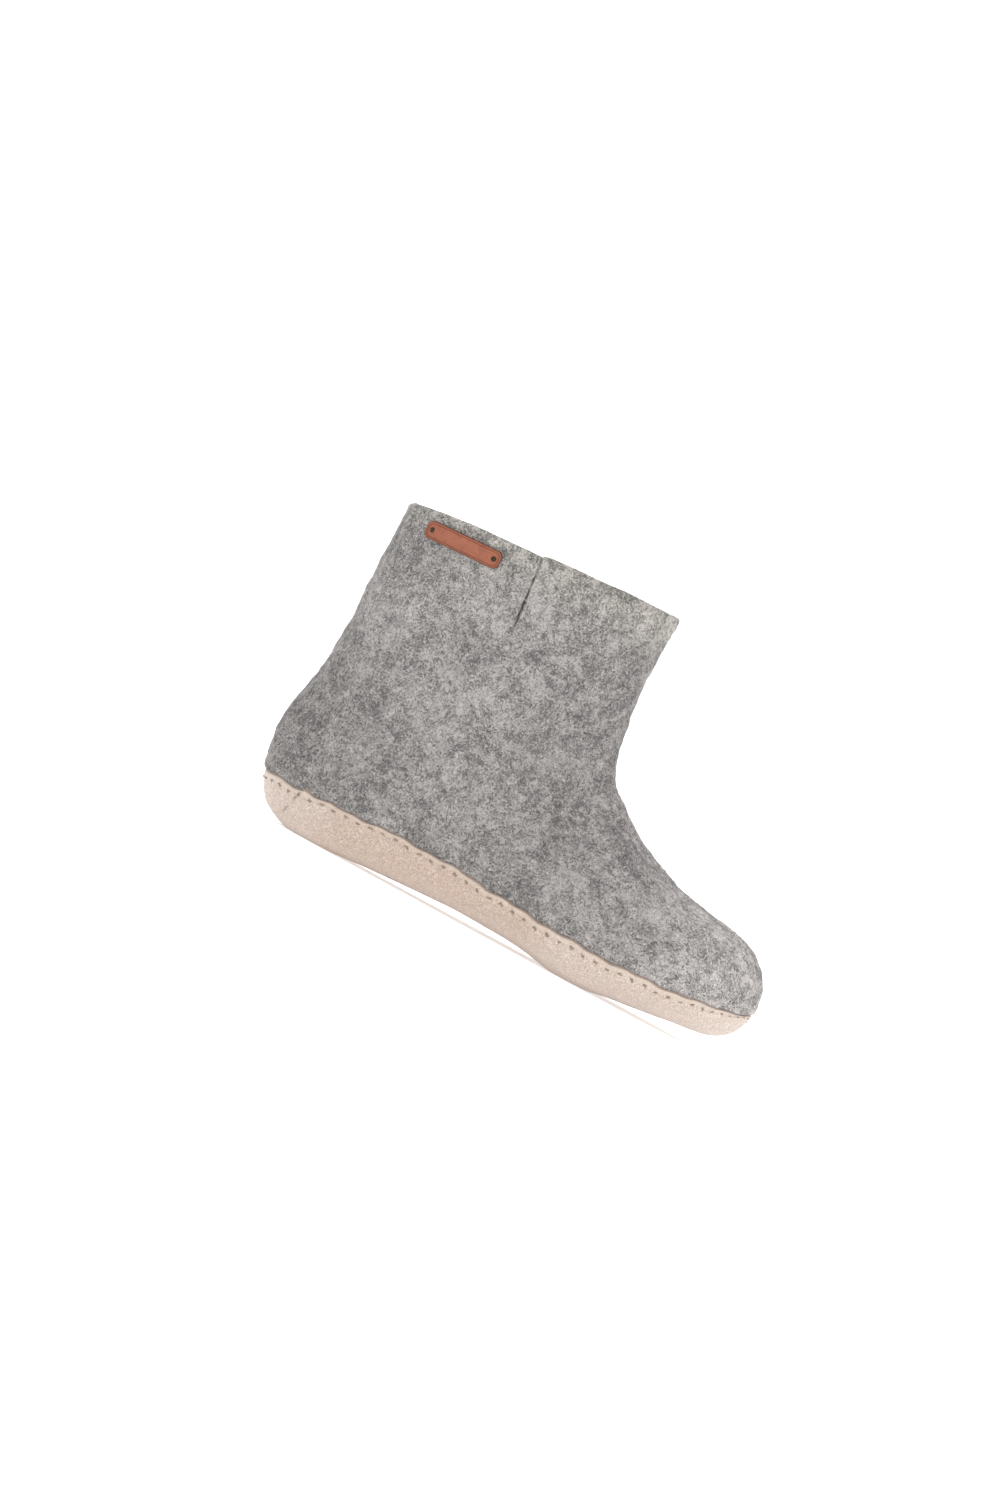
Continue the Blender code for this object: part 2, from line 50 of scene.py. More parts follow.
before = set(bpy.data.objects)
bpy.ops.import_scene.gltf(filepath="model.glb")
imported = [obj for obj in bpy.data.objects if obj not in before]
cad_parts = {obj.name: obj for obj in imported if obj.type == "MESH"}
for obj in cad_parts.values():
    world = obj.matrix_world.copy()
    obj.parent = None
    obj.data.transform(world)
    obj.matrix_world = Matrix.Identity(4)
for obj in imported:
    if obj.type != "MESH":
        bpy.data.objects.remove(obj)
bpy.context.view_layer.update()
UPPER_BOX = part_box("upper")
GAP = 0.0003
WELD = 1e-6

# A section is an oval round the straight line from its front point, on the toe, instep or
# shin, to its back point, under the sole or behind the heel. width is its greatest breadth,
# shift moves it and ridge moves its front point towards the big toe, belly is where along the
# line it is widest, and the squares are the powers of its front and back halves.
Section = namedtuple(
    "Section",
    "front_along front_up back_along back_up width shift ridge belly front_square back_square",
)

# Along: share of the foot's length. Front up: share of the climb from toe to instep. The back
# points lie on the sole line. Widths, shifts and ridges: share of the ball's width.
FOREFOOT = (
    Section(1.000, 0.000, 1.000, 0, 0.62, 0.070, 0.000, 0.42, 2.20, 2.80),
    Section(0.940, 0.000, 0.940, 0, 0.77, 0.060, 0.010, 0.40, 2.15, 3.00),
    Section(0.886, 0.010, 0.886, 0, 0.88, 0.045, 0.020, 0.38, 2.10, 3.20),
    Section(0.833, 0.065, 0.830, 0, 0.95, 0.030, 0.030, 0.36, 2.05, 3.40),
    Section(0.769, 0.200, 0.755, 0, 0.99, 0.015, 0.040, 0.34, 2.00, 3.60),
    Section(0.720, 0.380, 0.668, 0, 1.00, 0.005, 0.045, 0.33, 1.95, 3.60),
    Section(0.677, 0.565, 0.560, 0, 0.97, -0.010, 0.050, 0.31, 1.92, 3.60),
    Section(0.640, 0.785, 0.425, 0, 0.88, -0.025, 0.050, 0.29, 1.92, 3.50),
    Section(0.610, 1.000, 0.275, 0, 0.81, -0.020, 0.045, 0.31, 1.95, 3.50),
)

# Front along: share of the run from shaft to instep, and front up of the climb from instep to
# bend. Back along: share of the heel's round, and back up of its bulge. Widths: of the heel's.
HEEL = (
    Section(0.640, 0.117, 1.000, -0.037, 1.000, -0.010, 0.040, 0.38, 2.00, 3.40),
    Section(0.425, 0.266, 0.424, 0.107, 1.000, 0.000, 0.030, 0.42, 2.05, 2.70),
    Section(0.275, 0.415, 0.200, 0.309, 1.000, 0.000, 0.025, 0.45, 2.10, 2.45),
    Section(0.190, 0.553, 0.100, 0.535, 1.005, 0.000, 0.020, 0.47, 2.15, 2.35),
    Section(0.128, 0.690, 0.006, 0.884, 1.010, 0.000, 0.015, 0.48, 2.20, 2.30),
    Section(0.050, 0.840, 0.024, 1.210, 1.010, 0.000, 0.010, 0.49, 2.25, 2.30),
)

# Front along: share of the shaft's depth, and front up of the climb from bend to collar. Back
# along: share of the shaft's setback, and back up of its height. Widths: of the shaft's.
SHAFT = (
    Section(1.000, 0.000, 0.655, 0.402, 0.935, 0.000, 0.005, 0.50, 2.30, 2.30),
    Section(0.999, 0.200, 1.110, 0.505, 0.945, 0.000, 0.000, 0.50, 2.35, 2.35),
    Section(1.000, 0.405, 1.240, 0.625, 0.960, 0.000, 0.000, 0.50, 2.35, 2.35),
    Section(1.001, 0.640, 1.060, 0.769, 0.975, 0.000, 0.000, 0.50, 2.35, 2.35),
    Section(1.003, 0.835, 1.010, 0.895, 0.990, 0.000, 0.000, 0.50, 2.35, 2.35),
    Section(1.004, 1.000, 0.964, 1.000, 1.000, 0.000, 0.000, 0.50, 2.35, 2.35),
)

# The underside's middle line: shares of foot length, arch lift, toe spring and contact dip
SolePoint = namedtuple("SolePoint", "along arch spring dip")
SOLE_LINE = (
    SolePoint(0.00, 0.00, 0.00, 1.0),
    SolePoint(0.20, 0.00, 0.00, 1.0),
    SolePoint(0.28, 0.35, 0.00, 0.0),
    SolePoint(0.36, 0.80, 0.00, 0.0),
    SolePoint(0.44, 1.00, 0.00, 0.0),
    SolePoint(0.53, 1.00, 0.00, 0.0),
    SolePoint(0.58, 0.50, 0.00, 0.0),
    SolePoint(0.64, 0.00, 0.00, 1.0),
    SolePoint(0.70, 0.00, 0.00, 1.0),
    SolePoint(0.76, 0.00, 0.20, 0.0),
    SolePoint(0.82, 0.00, 0.52, 0.0),
    SolePoint(0.88, 0.00, 0.88, 0.0),
    SolePoint(0.94, 0.00, 0.92, 0.0),
    SolePoint(1.00, 0.00, 0.80, 0.0),
)

# The upper edge of the suede: shares of foot length and band height
EdgePoint = namedtuple("EdgePoint", "along up")
SUEDE_EDGE = (
    EdgePoint(0.00, 1.010),
    EdgePoint(0.10, 1.025),
    EdgePoint(0.20, 1.100),
    EdgePoint(0.28, 1.160),
    EdgePoint(0.37, 1.170),
    EdgePoint(0.45, 1.115),
    EdgePoint(0.55, 1.020),
    EdgePoint(0.66, 0.955),
    EdgePoint(0.76, 0.965),
    EdgePoint(0.87, 1.060),
    EdgePoint(0.94, 1.170),
    EdgePoint(1.00, 1.330),
)

# Places round a section
INNER_SIDE = 0.0
FRONT = np.pi / 2
OUTER_SIDE = np.pi
BACK = -np.pi / 2


def length(name, description, default):
    return bpy.props.FloatProperty(name=name, description=description, default=default, unit="LENGTH", precision=4)


def colour(name, description, default):
    return bpy.props.FloatVectorProperty(
        name=name, description=description, default=default, subtype="COLOR", size=3, min=0, max=1
    )


class LastSizes(bpy.types.PropertyGroup):
    foot_length: length("Foot length", "Length of the boot outside", 0.2665)
    ball_width: length("Ball width", "Width over the ball", 0.100)
    heel_width: length("Heel width", "Width of the heel", 0.079)
    toe_height: length("Toe height", "Height behind the toe's round", 0.0585)
    instep_height: length("Instep height", "Height of the instep", 0.0875)
    instep_from_heel: length("Instep from heel", "Distance of the instep from the heel", 0.1617)
    heel_bulge_height: length("Heel bulge", "Height where the heel stands out most", 0.043)
    heel_round: length("Heel round", "How far the heel's round reaches forwards", 0.033)
    nose_length: length("Nose length", "Length of the toe's round", 0.036)
    nose_height: length("Nose height", "Height of the toe's tip", 0.031)
    shaft_depth: length("Shaft depth", "Collar from front to back", 0.139)
    shaft_width: length("Shaft width", "Collar from side to side", 0.086)
    shaft_back: length("Shaft back", "How far the shaft stands ahead of the heel", 0.0055)
    bend_height: length("Bend height", "Height where the instep turns into the shin", 0.1345)
    back_height: length("Back height", "Height of the collar at the back", 0.1662)
    front_height: length("Front height", "Height of the collar at the front", 0.1776)
    collar_crown: length("Collar crown", "Rise of the outer side's collar above a straight line", 0.0019)
    arch_lift: length("Arch lift", "Height of the arch above the ground", 0.0031)
    toe_spring: length("Toe spring", "Height of the toe above the ground", 0.006)
    contact_dip: length("Contact dip", "How much heel and ball are pressed flat", 0.0016)
    band_height: length("Band height", "Height of the suede's edge at the heel", 0.020)
    edge_waves: length("Edge waves", "Height of the small waves of the suede's edge", 0.0007)
    sole_thickness: length("Sole thickness", "Thickness of the sole's floor", 0.005)


class FeltSettings(bpy.types.PropertyGroup):
    wall: length("Wall", "Thickness of the felt", 0.005)
    lump_height: length("Lump height", "Height of the felt's soft lumps", 0.00055)
    slit_from_heel: length("Slit from heel", "Place of the slit along the collar", 0.0738)
    slit_depth: length("Slit depth", "Depth of the slit below the collar", 0.0365)
    slit_gape: length("Slit gape", "Widest opening of the slit", 0.0016)
    slit_lean: length("Slit lean", "How far forwards the slit's point lies", 0.0036)
    flap_step: length("Flap step", "How much lower the collar lies behind the slit", 0.0014)
    fibre_length: length("Fibre length", "Length of a loose fibre", 0.0019)
    fibre_width: length("Fibre width", "Width of a loose fibre", 0.00010)
    fibre_count: bpy.props.IntProperty(name="Fibres", description="Loose fibres on each half", default=64000)
    light: colour("Light wool", "Colour of the light fibres", (0.760, 0.714, 0.692))
    dark: colour("Dark wool", "Colour of the dark fibres", (0.140, 0.131, 0.130))


class SoleSettings(bpy.types.PropertyGroup):
    wall: length("Wall", "Thickness of the suede's side wall", 0.0018)
    sink: length("Sink", "How far the suede lies inside the felt's skin", 0.0007)
    insole_thickness: length("Insole thickness", "Thickness of the felt footbed", 0.0045)
    stitch_pitch: length("Stitch pitch", "Distance from one stitch to the next", 0.0066)
    stitch_length: length("Stitch length", "Length of the thread that shows", 0.0027)
    stitch_below_edge: length("Stitch below edge", "Distance of the seam from the suede's edge", 0.0042)
    thread: length("Thread", "Thickness of the thread", 0.0006)
    suede: colour("Suede", "Colour of the suede", (0.640, 0.502, 0.422))
    suede_band: colour("Suede band", "Colour of the suede's stitched edge", (0.622, 0.521, 0.430))
    thread_colour: colour("Thread colour", "Colour of the thread", (0.420, 0.300, 0.225))
    # painted shade: the dark colour of the needle holes, of the line under the felt, of the heel seam and of the
    # thread's sunk ends
    shade_colour: colour("Painted shade", "Colour of the needle holes", (0.150, 0.085, 0.060))


class TagSettings(bpy.types.PropertyGroup):
    size_along: length("Length", "Length of the tag", 0.0380)
    size_across: length("Height", "Height of the tag", 0.0090)
    thickness: length("Thickness", "Thickness of the tag's leather", 0.0016)
    corner: length("Corner", "How far the corners are clipped", 0.0018)
    from_heel: length("From heel", "Place of the tag's middle along the collar", 0.0380)
    below_collar: length("Below collar", "Distance of the tag's middle line from the collar", 0.0092)
    slope: bpy.props.FloatProperty(name="Slope", description="Rise of the tag for each unit of length", default=0.055)
    leather: colour("Leather", "Colour of the tag's face", (0.400, 0.142, 0.082))
    edge: colour("Edge", "Colour of the tag's burnished edge", (0.110, 0.035, 0.022))
    metal: colour("Metal", "Colour of the rivets", (0.022, 0.014, 0.010))


class StageSettings(bpy.types.PropertyGroup):
    roll: bpy.props.FloatProperty(
        name="Roll", description="Turn of the camera about its line of sight", default=np.radians(28.46), subtype="ANGLE"
    )
    elevation: bpy.props.FloatProperty(
        name="Elevation", description="Height of the view above the horizon", default=np.radians(0.8), subtype="ANGLE"
    )
    distance: length("Distance", "Distance from the camera to the boot", 6.0)
    view_height: length("View height", "Height of the picture at the boot", 0.7190)
    aim_x: length("Aim X", "Point at the middle of the picture, along the boot", -0.0340)
    aim_z: length("Aim Z", "Point at the middle of the picture, above the ground", 0.0814)
    floor: colour("Floor", "Colour of the floor and the backdrop", (0.92, 0.92, 0.92))


def through_rows(rows, t):
    """Smooth curve through the rows of an array, at row numbers t: on each span the cubic whose
    slopes at its two rows are half the step from the row before to the row after."""
    top = len(rows) - 1
    i = np.clip(np.floor(t).astype(int), 0, top - 1)
    f = (t - i)[..., None]
    here, after = rows[i], rows[i + 1]
    before = np.where((i > 0)[..., None], rows[np.maximum(i - 1, 0)], 2 * here - after)
    beyond = np.where((i < top - 1)[..., None], rows[np.minimum(i + 2, top)], 2 * after - here)
    return 0.5 * (
        2 * here
        + (after - before) * f
        + (2 * before - 5 * here + 4 * after - beyond) * f**2
        + (3 * here - 3 * after + beyond - before) * f**3
    )


def smooth_line(along, values, x):
    """Smooth height over x through points (along, values), with cubic pieces that share slopes."""
    slope = np.gradient(values, along)
    i = np.clip(np.searchsorted(along, x) - 1, 0, len(along) - 2)
    run = along[i + 1] - along[i]
    f = np.clip((x - along[i]) / run, 0, 1)
    return (
        (2 * f**3 - 3 * f**2 + 1) * values[i]
        + (f**3 - 2 * f**2 + f) * run * slope[i]
        + (3 * f**2 - 2 * f**3) * values[i + 1]
        + (f**3 - f**2) * run * slope[i + 1]
    )


def smooth_step(low, high, value):
    """0 below low, 1 above high, and a smooth S between them."""
    f = np.clip((value - low) / (high - low), 0, 1)
    return f * f * (3 - 2 * f)


def value_noise(points, seed):
    """Smooth random height from -1 to 1: every corner of a unit lattice holds a number hashed
    from its place, and inside a cell the eight corners are blended with S-shaped weights."""
    cell = np.floor(points).astype(np.int64)
    f = points - cell
    f = f * f * (3 - 2 * f)
    total = np.zeros(points.shape[:-1])
    for corner in np.ndindex(2, 2, 2):
        at = cell + np.array(corner)
        h = (at[..., 0] * 73856093) ^ (at[..., 1] * 19349663) ^ (at[..., 2] * 83492791) ^ (seed * 2654435761)
        h = ((h ^ (h >> 13)) * 1274126177) & 0xFFFFFFFF
        h = ((h ^ (h >> 16)) * 2246822519) & 0xFFFFFFFF
        weight = np.prod(np.where(np.array(corner) == 1, f, 1 - f), axis=-1)
        total += weight * (h / 2147483648.0 - 1)
    return total


def layered_noise(points, cell_size, layers, seed):
    """Sum of noises, each with cells half as big and half as high as the one before."""
    total = np.zeros(points.shape[:-1])
    for layer in range(layers):
        total += value_noise(points / cell_size * 2**layer, seed + layer) / 2**layer
    return total


class Last:
    """The boot's outer skin. A point is given by t, its section counted from the toe's tip to
    the collar, and angle, its place round the section."""

    nose_squares = (2.1, 2.3, 2.75)

    def __init__(self, sizes):
        self.sizes = sizes
        self.rows = self.section_rows()
        self.top = len(self.rows) - 1
        self.middle = np.zeros(3)
        t, angle = np.meshgrid(np.linspace(0.2, self.top, 400), np.linspace(0, 2 * np.pi, 180))
        y = self.skin(t, angle)[..., 1]
        self.middle = np.array([sizes.foot_length - UPPER_BOX[1][0], (y.max() + y.min()) / 2, 0])

    def sole_line(self, x, dip=None):
        """Height of the underside's middle line, x metres ahead of the heel."""
        rows = np.array(SOLE_LINE)
        s = self.sizes
        dip = s.contact_dip if dip is None else dip
        heights = rows[:, 1] * s.arch_lift + rows[:, 2] * s.toe_spring - rows[:, 3] * dip
        return smooth_line(rows[:, 0] * s.foot_length, heights, x)

    def suede_edge(self, x):
        """Height of the suede's upper edge at x, in the boot's own frame: the smooth line through
        the table's points, with two small waves where the edge was cut and pulled by hand."""
        rows = np.array(SUEDE_EDGE)
        s = self.sizes
        waves = s.edge_waves * (0.6 * np.sin(x * 190) + 0.4 * np.sin(x * 470 + 1.3))
        return smooth_line(rows[:, 0] * s.foot_length, rows[:, 1] * s.band_height, x + self.middle[0]) + waves

    def floor_line(self, x):
        """Height of the sole's upper face at x, in the boot's own frame."""
        return self.sole_line(x + self.middle[0], 0) + self.sizes.sole_thickness

    def section_rows(self):
        """The three tables as rows of front x, front z, back x, back z and half width in
        metres, followed by shift, ridge, belly and the squares."""
        s = self.sizes
        shaft_front = s.shaft_back + s.shaft_depth
        rows = []
        for row in FOREFOOT:
            front_z = s.toe_height + row.front_up * (s.instep_height - s.toe_height)
            back_x = row.back_along * s.foot_length
            back = (back_x, float(self.sole_line(back_x)))
            rows.append((row.front_along * s.foot_length, front_z, *back, row.width * s.ball_width / 2, *row[5:]))
        for row in HEEL:
            front_x = shaft_front + row.front_along * (s.instep_from_heel - shaft_front)
            front_z = s.instep_height + row.front_up * (s.bend_height - s.instep_height)
            back = (row.back_along * s.heel_round, row.back_up * s.heel_bulge_height)
            rows.append((front_x, front_z, *back, row.width * s.heel_width / 2, *row[5:]))
        for row in SHAFT:
            front_x = s.shaft_back + row.front_along * s.shaft_depth
            front_z = s.bend_height + row.front_up * (s.front_height - s.bend_height)
            back = (row.back_along * s.shaft_back, row.back_up * s.back_height)
            rows.append((front_x, front_z, *back, row.width * s.shaft_width / 2, *row[5:]))
        return np.array(rows)

    def skin(self, t, angle):
        """Point of the skin: an oval of two half super-ellipses laid across the line from the
        section's back point to its front point, with the toe's round drawn in by a power curve."""
        s = self.sizes
        columns = np.moveaxis(through_rows(self.rows, t), -1, 0)
        front_x, front_z, back_x, back_z, half, shift, ridge, belly, n_front, n_back = columns
        to_tip = np.clip((s.foot_length - front_x) / s.nose_length, 0, 1)
        over, nose, under = [(1 - (1 - to_tip) ** n) ** (1 / n) for n in self.nose_squares]
        front_z = s.nose_height + (front_z - s.nose_height) * over
        back_z = s.nose_height + (back_z - s.nose_height) * under
        back_x = np.where(to_tip < 1, np.maximum(back_x, front_x), back_x)
        sine, cosine = np.sin(angle), np.cos(angle)
        power = 2 / np.where(sine > 0, n_front, n_back)
        side = np.sign(cosine) * np.abs(cosine) ** power
        ahead = np.abs(sine) ** power
        share = np.where(sine > 0, belly + (1 - belly) * ahead, belly * (1 - ahead))
        near_collar = np.clip(t - (self.top - 1), 0, 1)
        crown = s.collar_crown * 4 * share * (1 - share) * near_collar * (side < 0)
        x = back_x + (front_x - back_x) * share
        y = side * half * nose + (shift + ridge * np.clip(share - belly, 0, 1)) * s.ball_width
        z = back_z + (front_z - back_z) * share + crown
        return np.stack([x, y, z], axis=-1) - self.middle

    def normals(self, t, angle):
        """Outward unit normals: the cross product of two short steps on the skin."""
        step = 0.004
        ahead, behind = np.minimum(t + step, self.top), np.maximum(t - step, 0)
        upwards = self.skin(ahead, angle) - self.skin(behind, angle)
        round_it = self.skin(t, angle + step) - self.skin(t, angle - step)
        normals = np.cross(upwards, round_it)
        size = np.linalg.norm(normals, axis=-1, keepdims=True)
        return np.where(size > 1e-14, normals / np.maximum(size, 1e-14), np.array([1.0, 0, 0]))

    def moved(self, t, angle, inwards):
        return self.skin(t, angle) - self.normals(t, angle) * np.asarray(inwards)[..., None]

    def crossing(self, t, height, inwards=0.0):
        """Angle from the back point up to where each section, moved inwards, crosses the height
        over x, or 0 where its back point is above it."""
        fine = np.linspace(0, np.pi, 1201)
        tt, aa = np.meshgrid(t, fine, indexing="ij")
        points = self.skin(tt, BACK + aa)
        if inwards:
            points = self.moved(tt, BACK + aa, inwards)
        over = points[..., 2] - height(points[..., 0])
        first = np.argmax(over > 0, axis=1)
        rows = np.arange(len(t))
        before = np.maximum(first - 1, 0)
        low, high = over[rows, before], over[rows, first]
        f = np.where(first > 0, -low / np.maximum(high - low, 1e-12), 0)
        return np.where(first > 0, fine[before] + f * (fine[first] - fine[before]), 0)


def arc_lengths(points):
    """Distances along each line of points from its first one."""
    steps = np.linalg.norm(np.diff(points, axis=-2), axis=-1)
    return np.concatenate([np.zeros(steps.shape[:-1] + (1,)), np.cumsum(steps, axis=-1)], axis=-1)


def even_sections(last, low, high, count, busy):
    """Section numbers from low to high, so spaced that the fastest of three lines along the boot,
    on its side, on the instep and under the sole, moves on evenly, and slower near busy places."""
    fine = low + (high - low) * np.linspace(0, 1, 6001) ** 2.2
    speed = 0
    for angle, weight in ((OUTER_SIDE, 1.0), (FRONT, 0.8), (BACK, 0.55)):
        steps = np.diff(last.skin(fine, np.full_like(fine, angle)), axis=0)
        speed = np.maximum(speed, weight * np.linalg.norm(steps, axis=1))
    for place, reach in busy:
        speed = speed * (1 + 2.2 * np.exp(-(((fine[1:] - place) / reach) ** 2)))
    run = np.concatenate([[0], np.cumsum(speed)])
    return np.interp(np.linspace(0, run[-1], count + 1), run, fine)


def grid_faces(rows, columns, first=0, flip=False):
    """Quads of a grid of points that are numbered row by row."""
    r, c = np.meshgrid(np.arange(rows - 1), np.arange(columns - 1), indexing="ij")
    a = (r * columns + c + first).ravel()
    quads = np.stack([a, a + 1, a + columns + 1, a + columns], axis=1)
    return quads[:, ::-1] if flip else quads


def strip_faces(line_a, line_b):
    """Quads between two lines of point numbers of the same length."""
    return np.stack([line_a[:-1], line_a[1:], line_b[1:], line_b[:-1]], axis=1)


def add_piece(name, points, faces, material, attributes=(), uv=None, weld=False):
    """Mesh object at the origin from points and a list of face arrays, each with its own number
    of corners. attributes are (name, one number for each point) pairs."""
    mesh = bpy.data.meshes.new(name)
    corners = np.concatenate([f.ravel() for f in faces]).astype(np.int32)
    sizes = np.concatenate([np.full(len(f), f.shape[1]) for f in faces])
    mesh.vertices.add(len(points))
    mesh.loops.add(len(corners))
    mesh.polygons.add(len(sizes))
    mesh.vertices.foreach_set("co", np.ascontiguousarray(points, dtype=np.float32).ravel())
    mesh.loops.foreach_set("vertex_index", corners)
    mesh.polygons.foreach_set("loop_start", (np.cumsum(sizes) - sizes).astype(np.int32))
    for key, values in attributes:
        data = mesh.attributes.new(key, "FLOAT", "POINT").data
        data.foreach_set("value", np.ascontiguousarray(values, dtype=np.float32).ravel())
    mesh.update(calc_edges=True)
    if uv is not None:
        layer = mesh.uv_layers.new(name="along_edge")
        layer.uv.foreach_set("vector", uv[corners].astype(np.float32).ravel())
    if weld:
        build = bmesh.new()
        build.from_mesh(mesh)
        bmesh.ops.remove_doubles(build, verts=build.verts, dist=WELD)
        bmesh.ops.dissolve_degenerate(build, edges=build.edges, dist=WELD)
        bmesh.ops.recalc_face_normals(build, faces=build.faces)
        build.to_mesh(mesh)
        build.free()
    if mesh.validate():
        raise RuntimeError(f"{name} has broken faces")
    mesh.shade_smooth()
    mesh.materials.append(material)
    piece = bpy.data.objects.new(name, mesh)
    bpy.context.scene.collection.objects.link(piece)
    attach(piece, "root")
    return piece


# The felt's soft folds, seen from the side: middle, turn from the horizontal in degrees, length,
# width, and depth, which is below 0 for a ridge
Fold = namedtuple("Fold", "x z turn length width depth")
FOLDS = (
    Fold(-0.006, 0.098, 52, 0.055, 0.010, 0.0011),
    Fold(0.012, 0.078, 40, 0.060, 0.011, 0.0009),
    Fold(-0.022, 0.112, 60, 0.045, 0.009, -0.0007),
    Fold(-0.095, 0.062, -12, 0.060, 0.011, 0.0010),
    Fold(-0.085, 0.083, -8, 0.070, 0.012, -0.0007),
    Fold(-0.045, 0.052, -35, 0.060, 0.013, 0.0008),
    Fold(0.050, 0.045, 25, 0.060, 0.012, 0.0007),
    Fold(0.085, 0.040, 15, 0.050, 0.012, -0.0005),
    Fold(-0.030, 0.150, 80, 0.050, 0.012, 0.0005),
    Fold(-0.100, 0.130, 85, 0.060, 0.014, 0.0005),
    Fold(0.020, 0.104, 105, 0.050, 0.013, -0.0011),
    Fold(0.012, 0.150, 90, 0.060, 0.012, -0.0008),
    Fold(0.072, 0.068, -38, 0.050, 0.010, -0.0006),
)


def fold_height(points):
    """Height of the soft folds: each is a bell across its line and a flatter bell along it."""
    total = np.zeros(points.shape[:-1])
    for fold in FOLDS:
        turn = np.radians(fold.turn)
        x, z = points[..., 0] - fold.x, points[..., 2] - fold.z
        along = x * np.cos(turn) + z * np.sin(turn)
        across = z * np.cos(turn) - x * np.sin(turn)
        total -= fold.depth * np.exp(-((across / fold.width) ** 2) - (along / fold.length * 1.6) ** 4)
    return total


def felt_height(points, lump):
    """How far the felt stands out from the last: lumps of four sizes, and the folds."""
    coarse = layered_noise(points, 0.021, 2, 11) * 0.8
    middle = layered_noise(points, 0.0075, 1, 23) * 0.40
    fine = layered_noise(points, 0.0040, 1, 37) * 0.80 + layered_noise(points, 0.0024, 1, 41) * 0.60
    return (coarse + middle + fine) * lump + fold_height(points)


def marble(points):
    """Tone of the wool from 0, dark, to 1, light: noise looked up at places that another noise
    has pushed about, so that its patches curl."""
    push = [layered_noise(points, 0.007, 2, seed) * 0.0035 for seed in (101, 113, 127)]
    moved = points + np.stack(push, axis=-1)
    value = layered_noise(moved, 0.0042, 2, 131) * 0.62 + layered_noise(points, 0.024, 2, 151) * 0.26
    return np.clip(0.5 + 0.74 * value, 0, 1)


def rounded(distance, radius):
    """How far a rounded edge falls back at a distance from it: a quarter circle."""
    short = np.clip(1 - distance / radius, 0, 1)
    return radius * (1 - np.sqrt(1 - short**2))


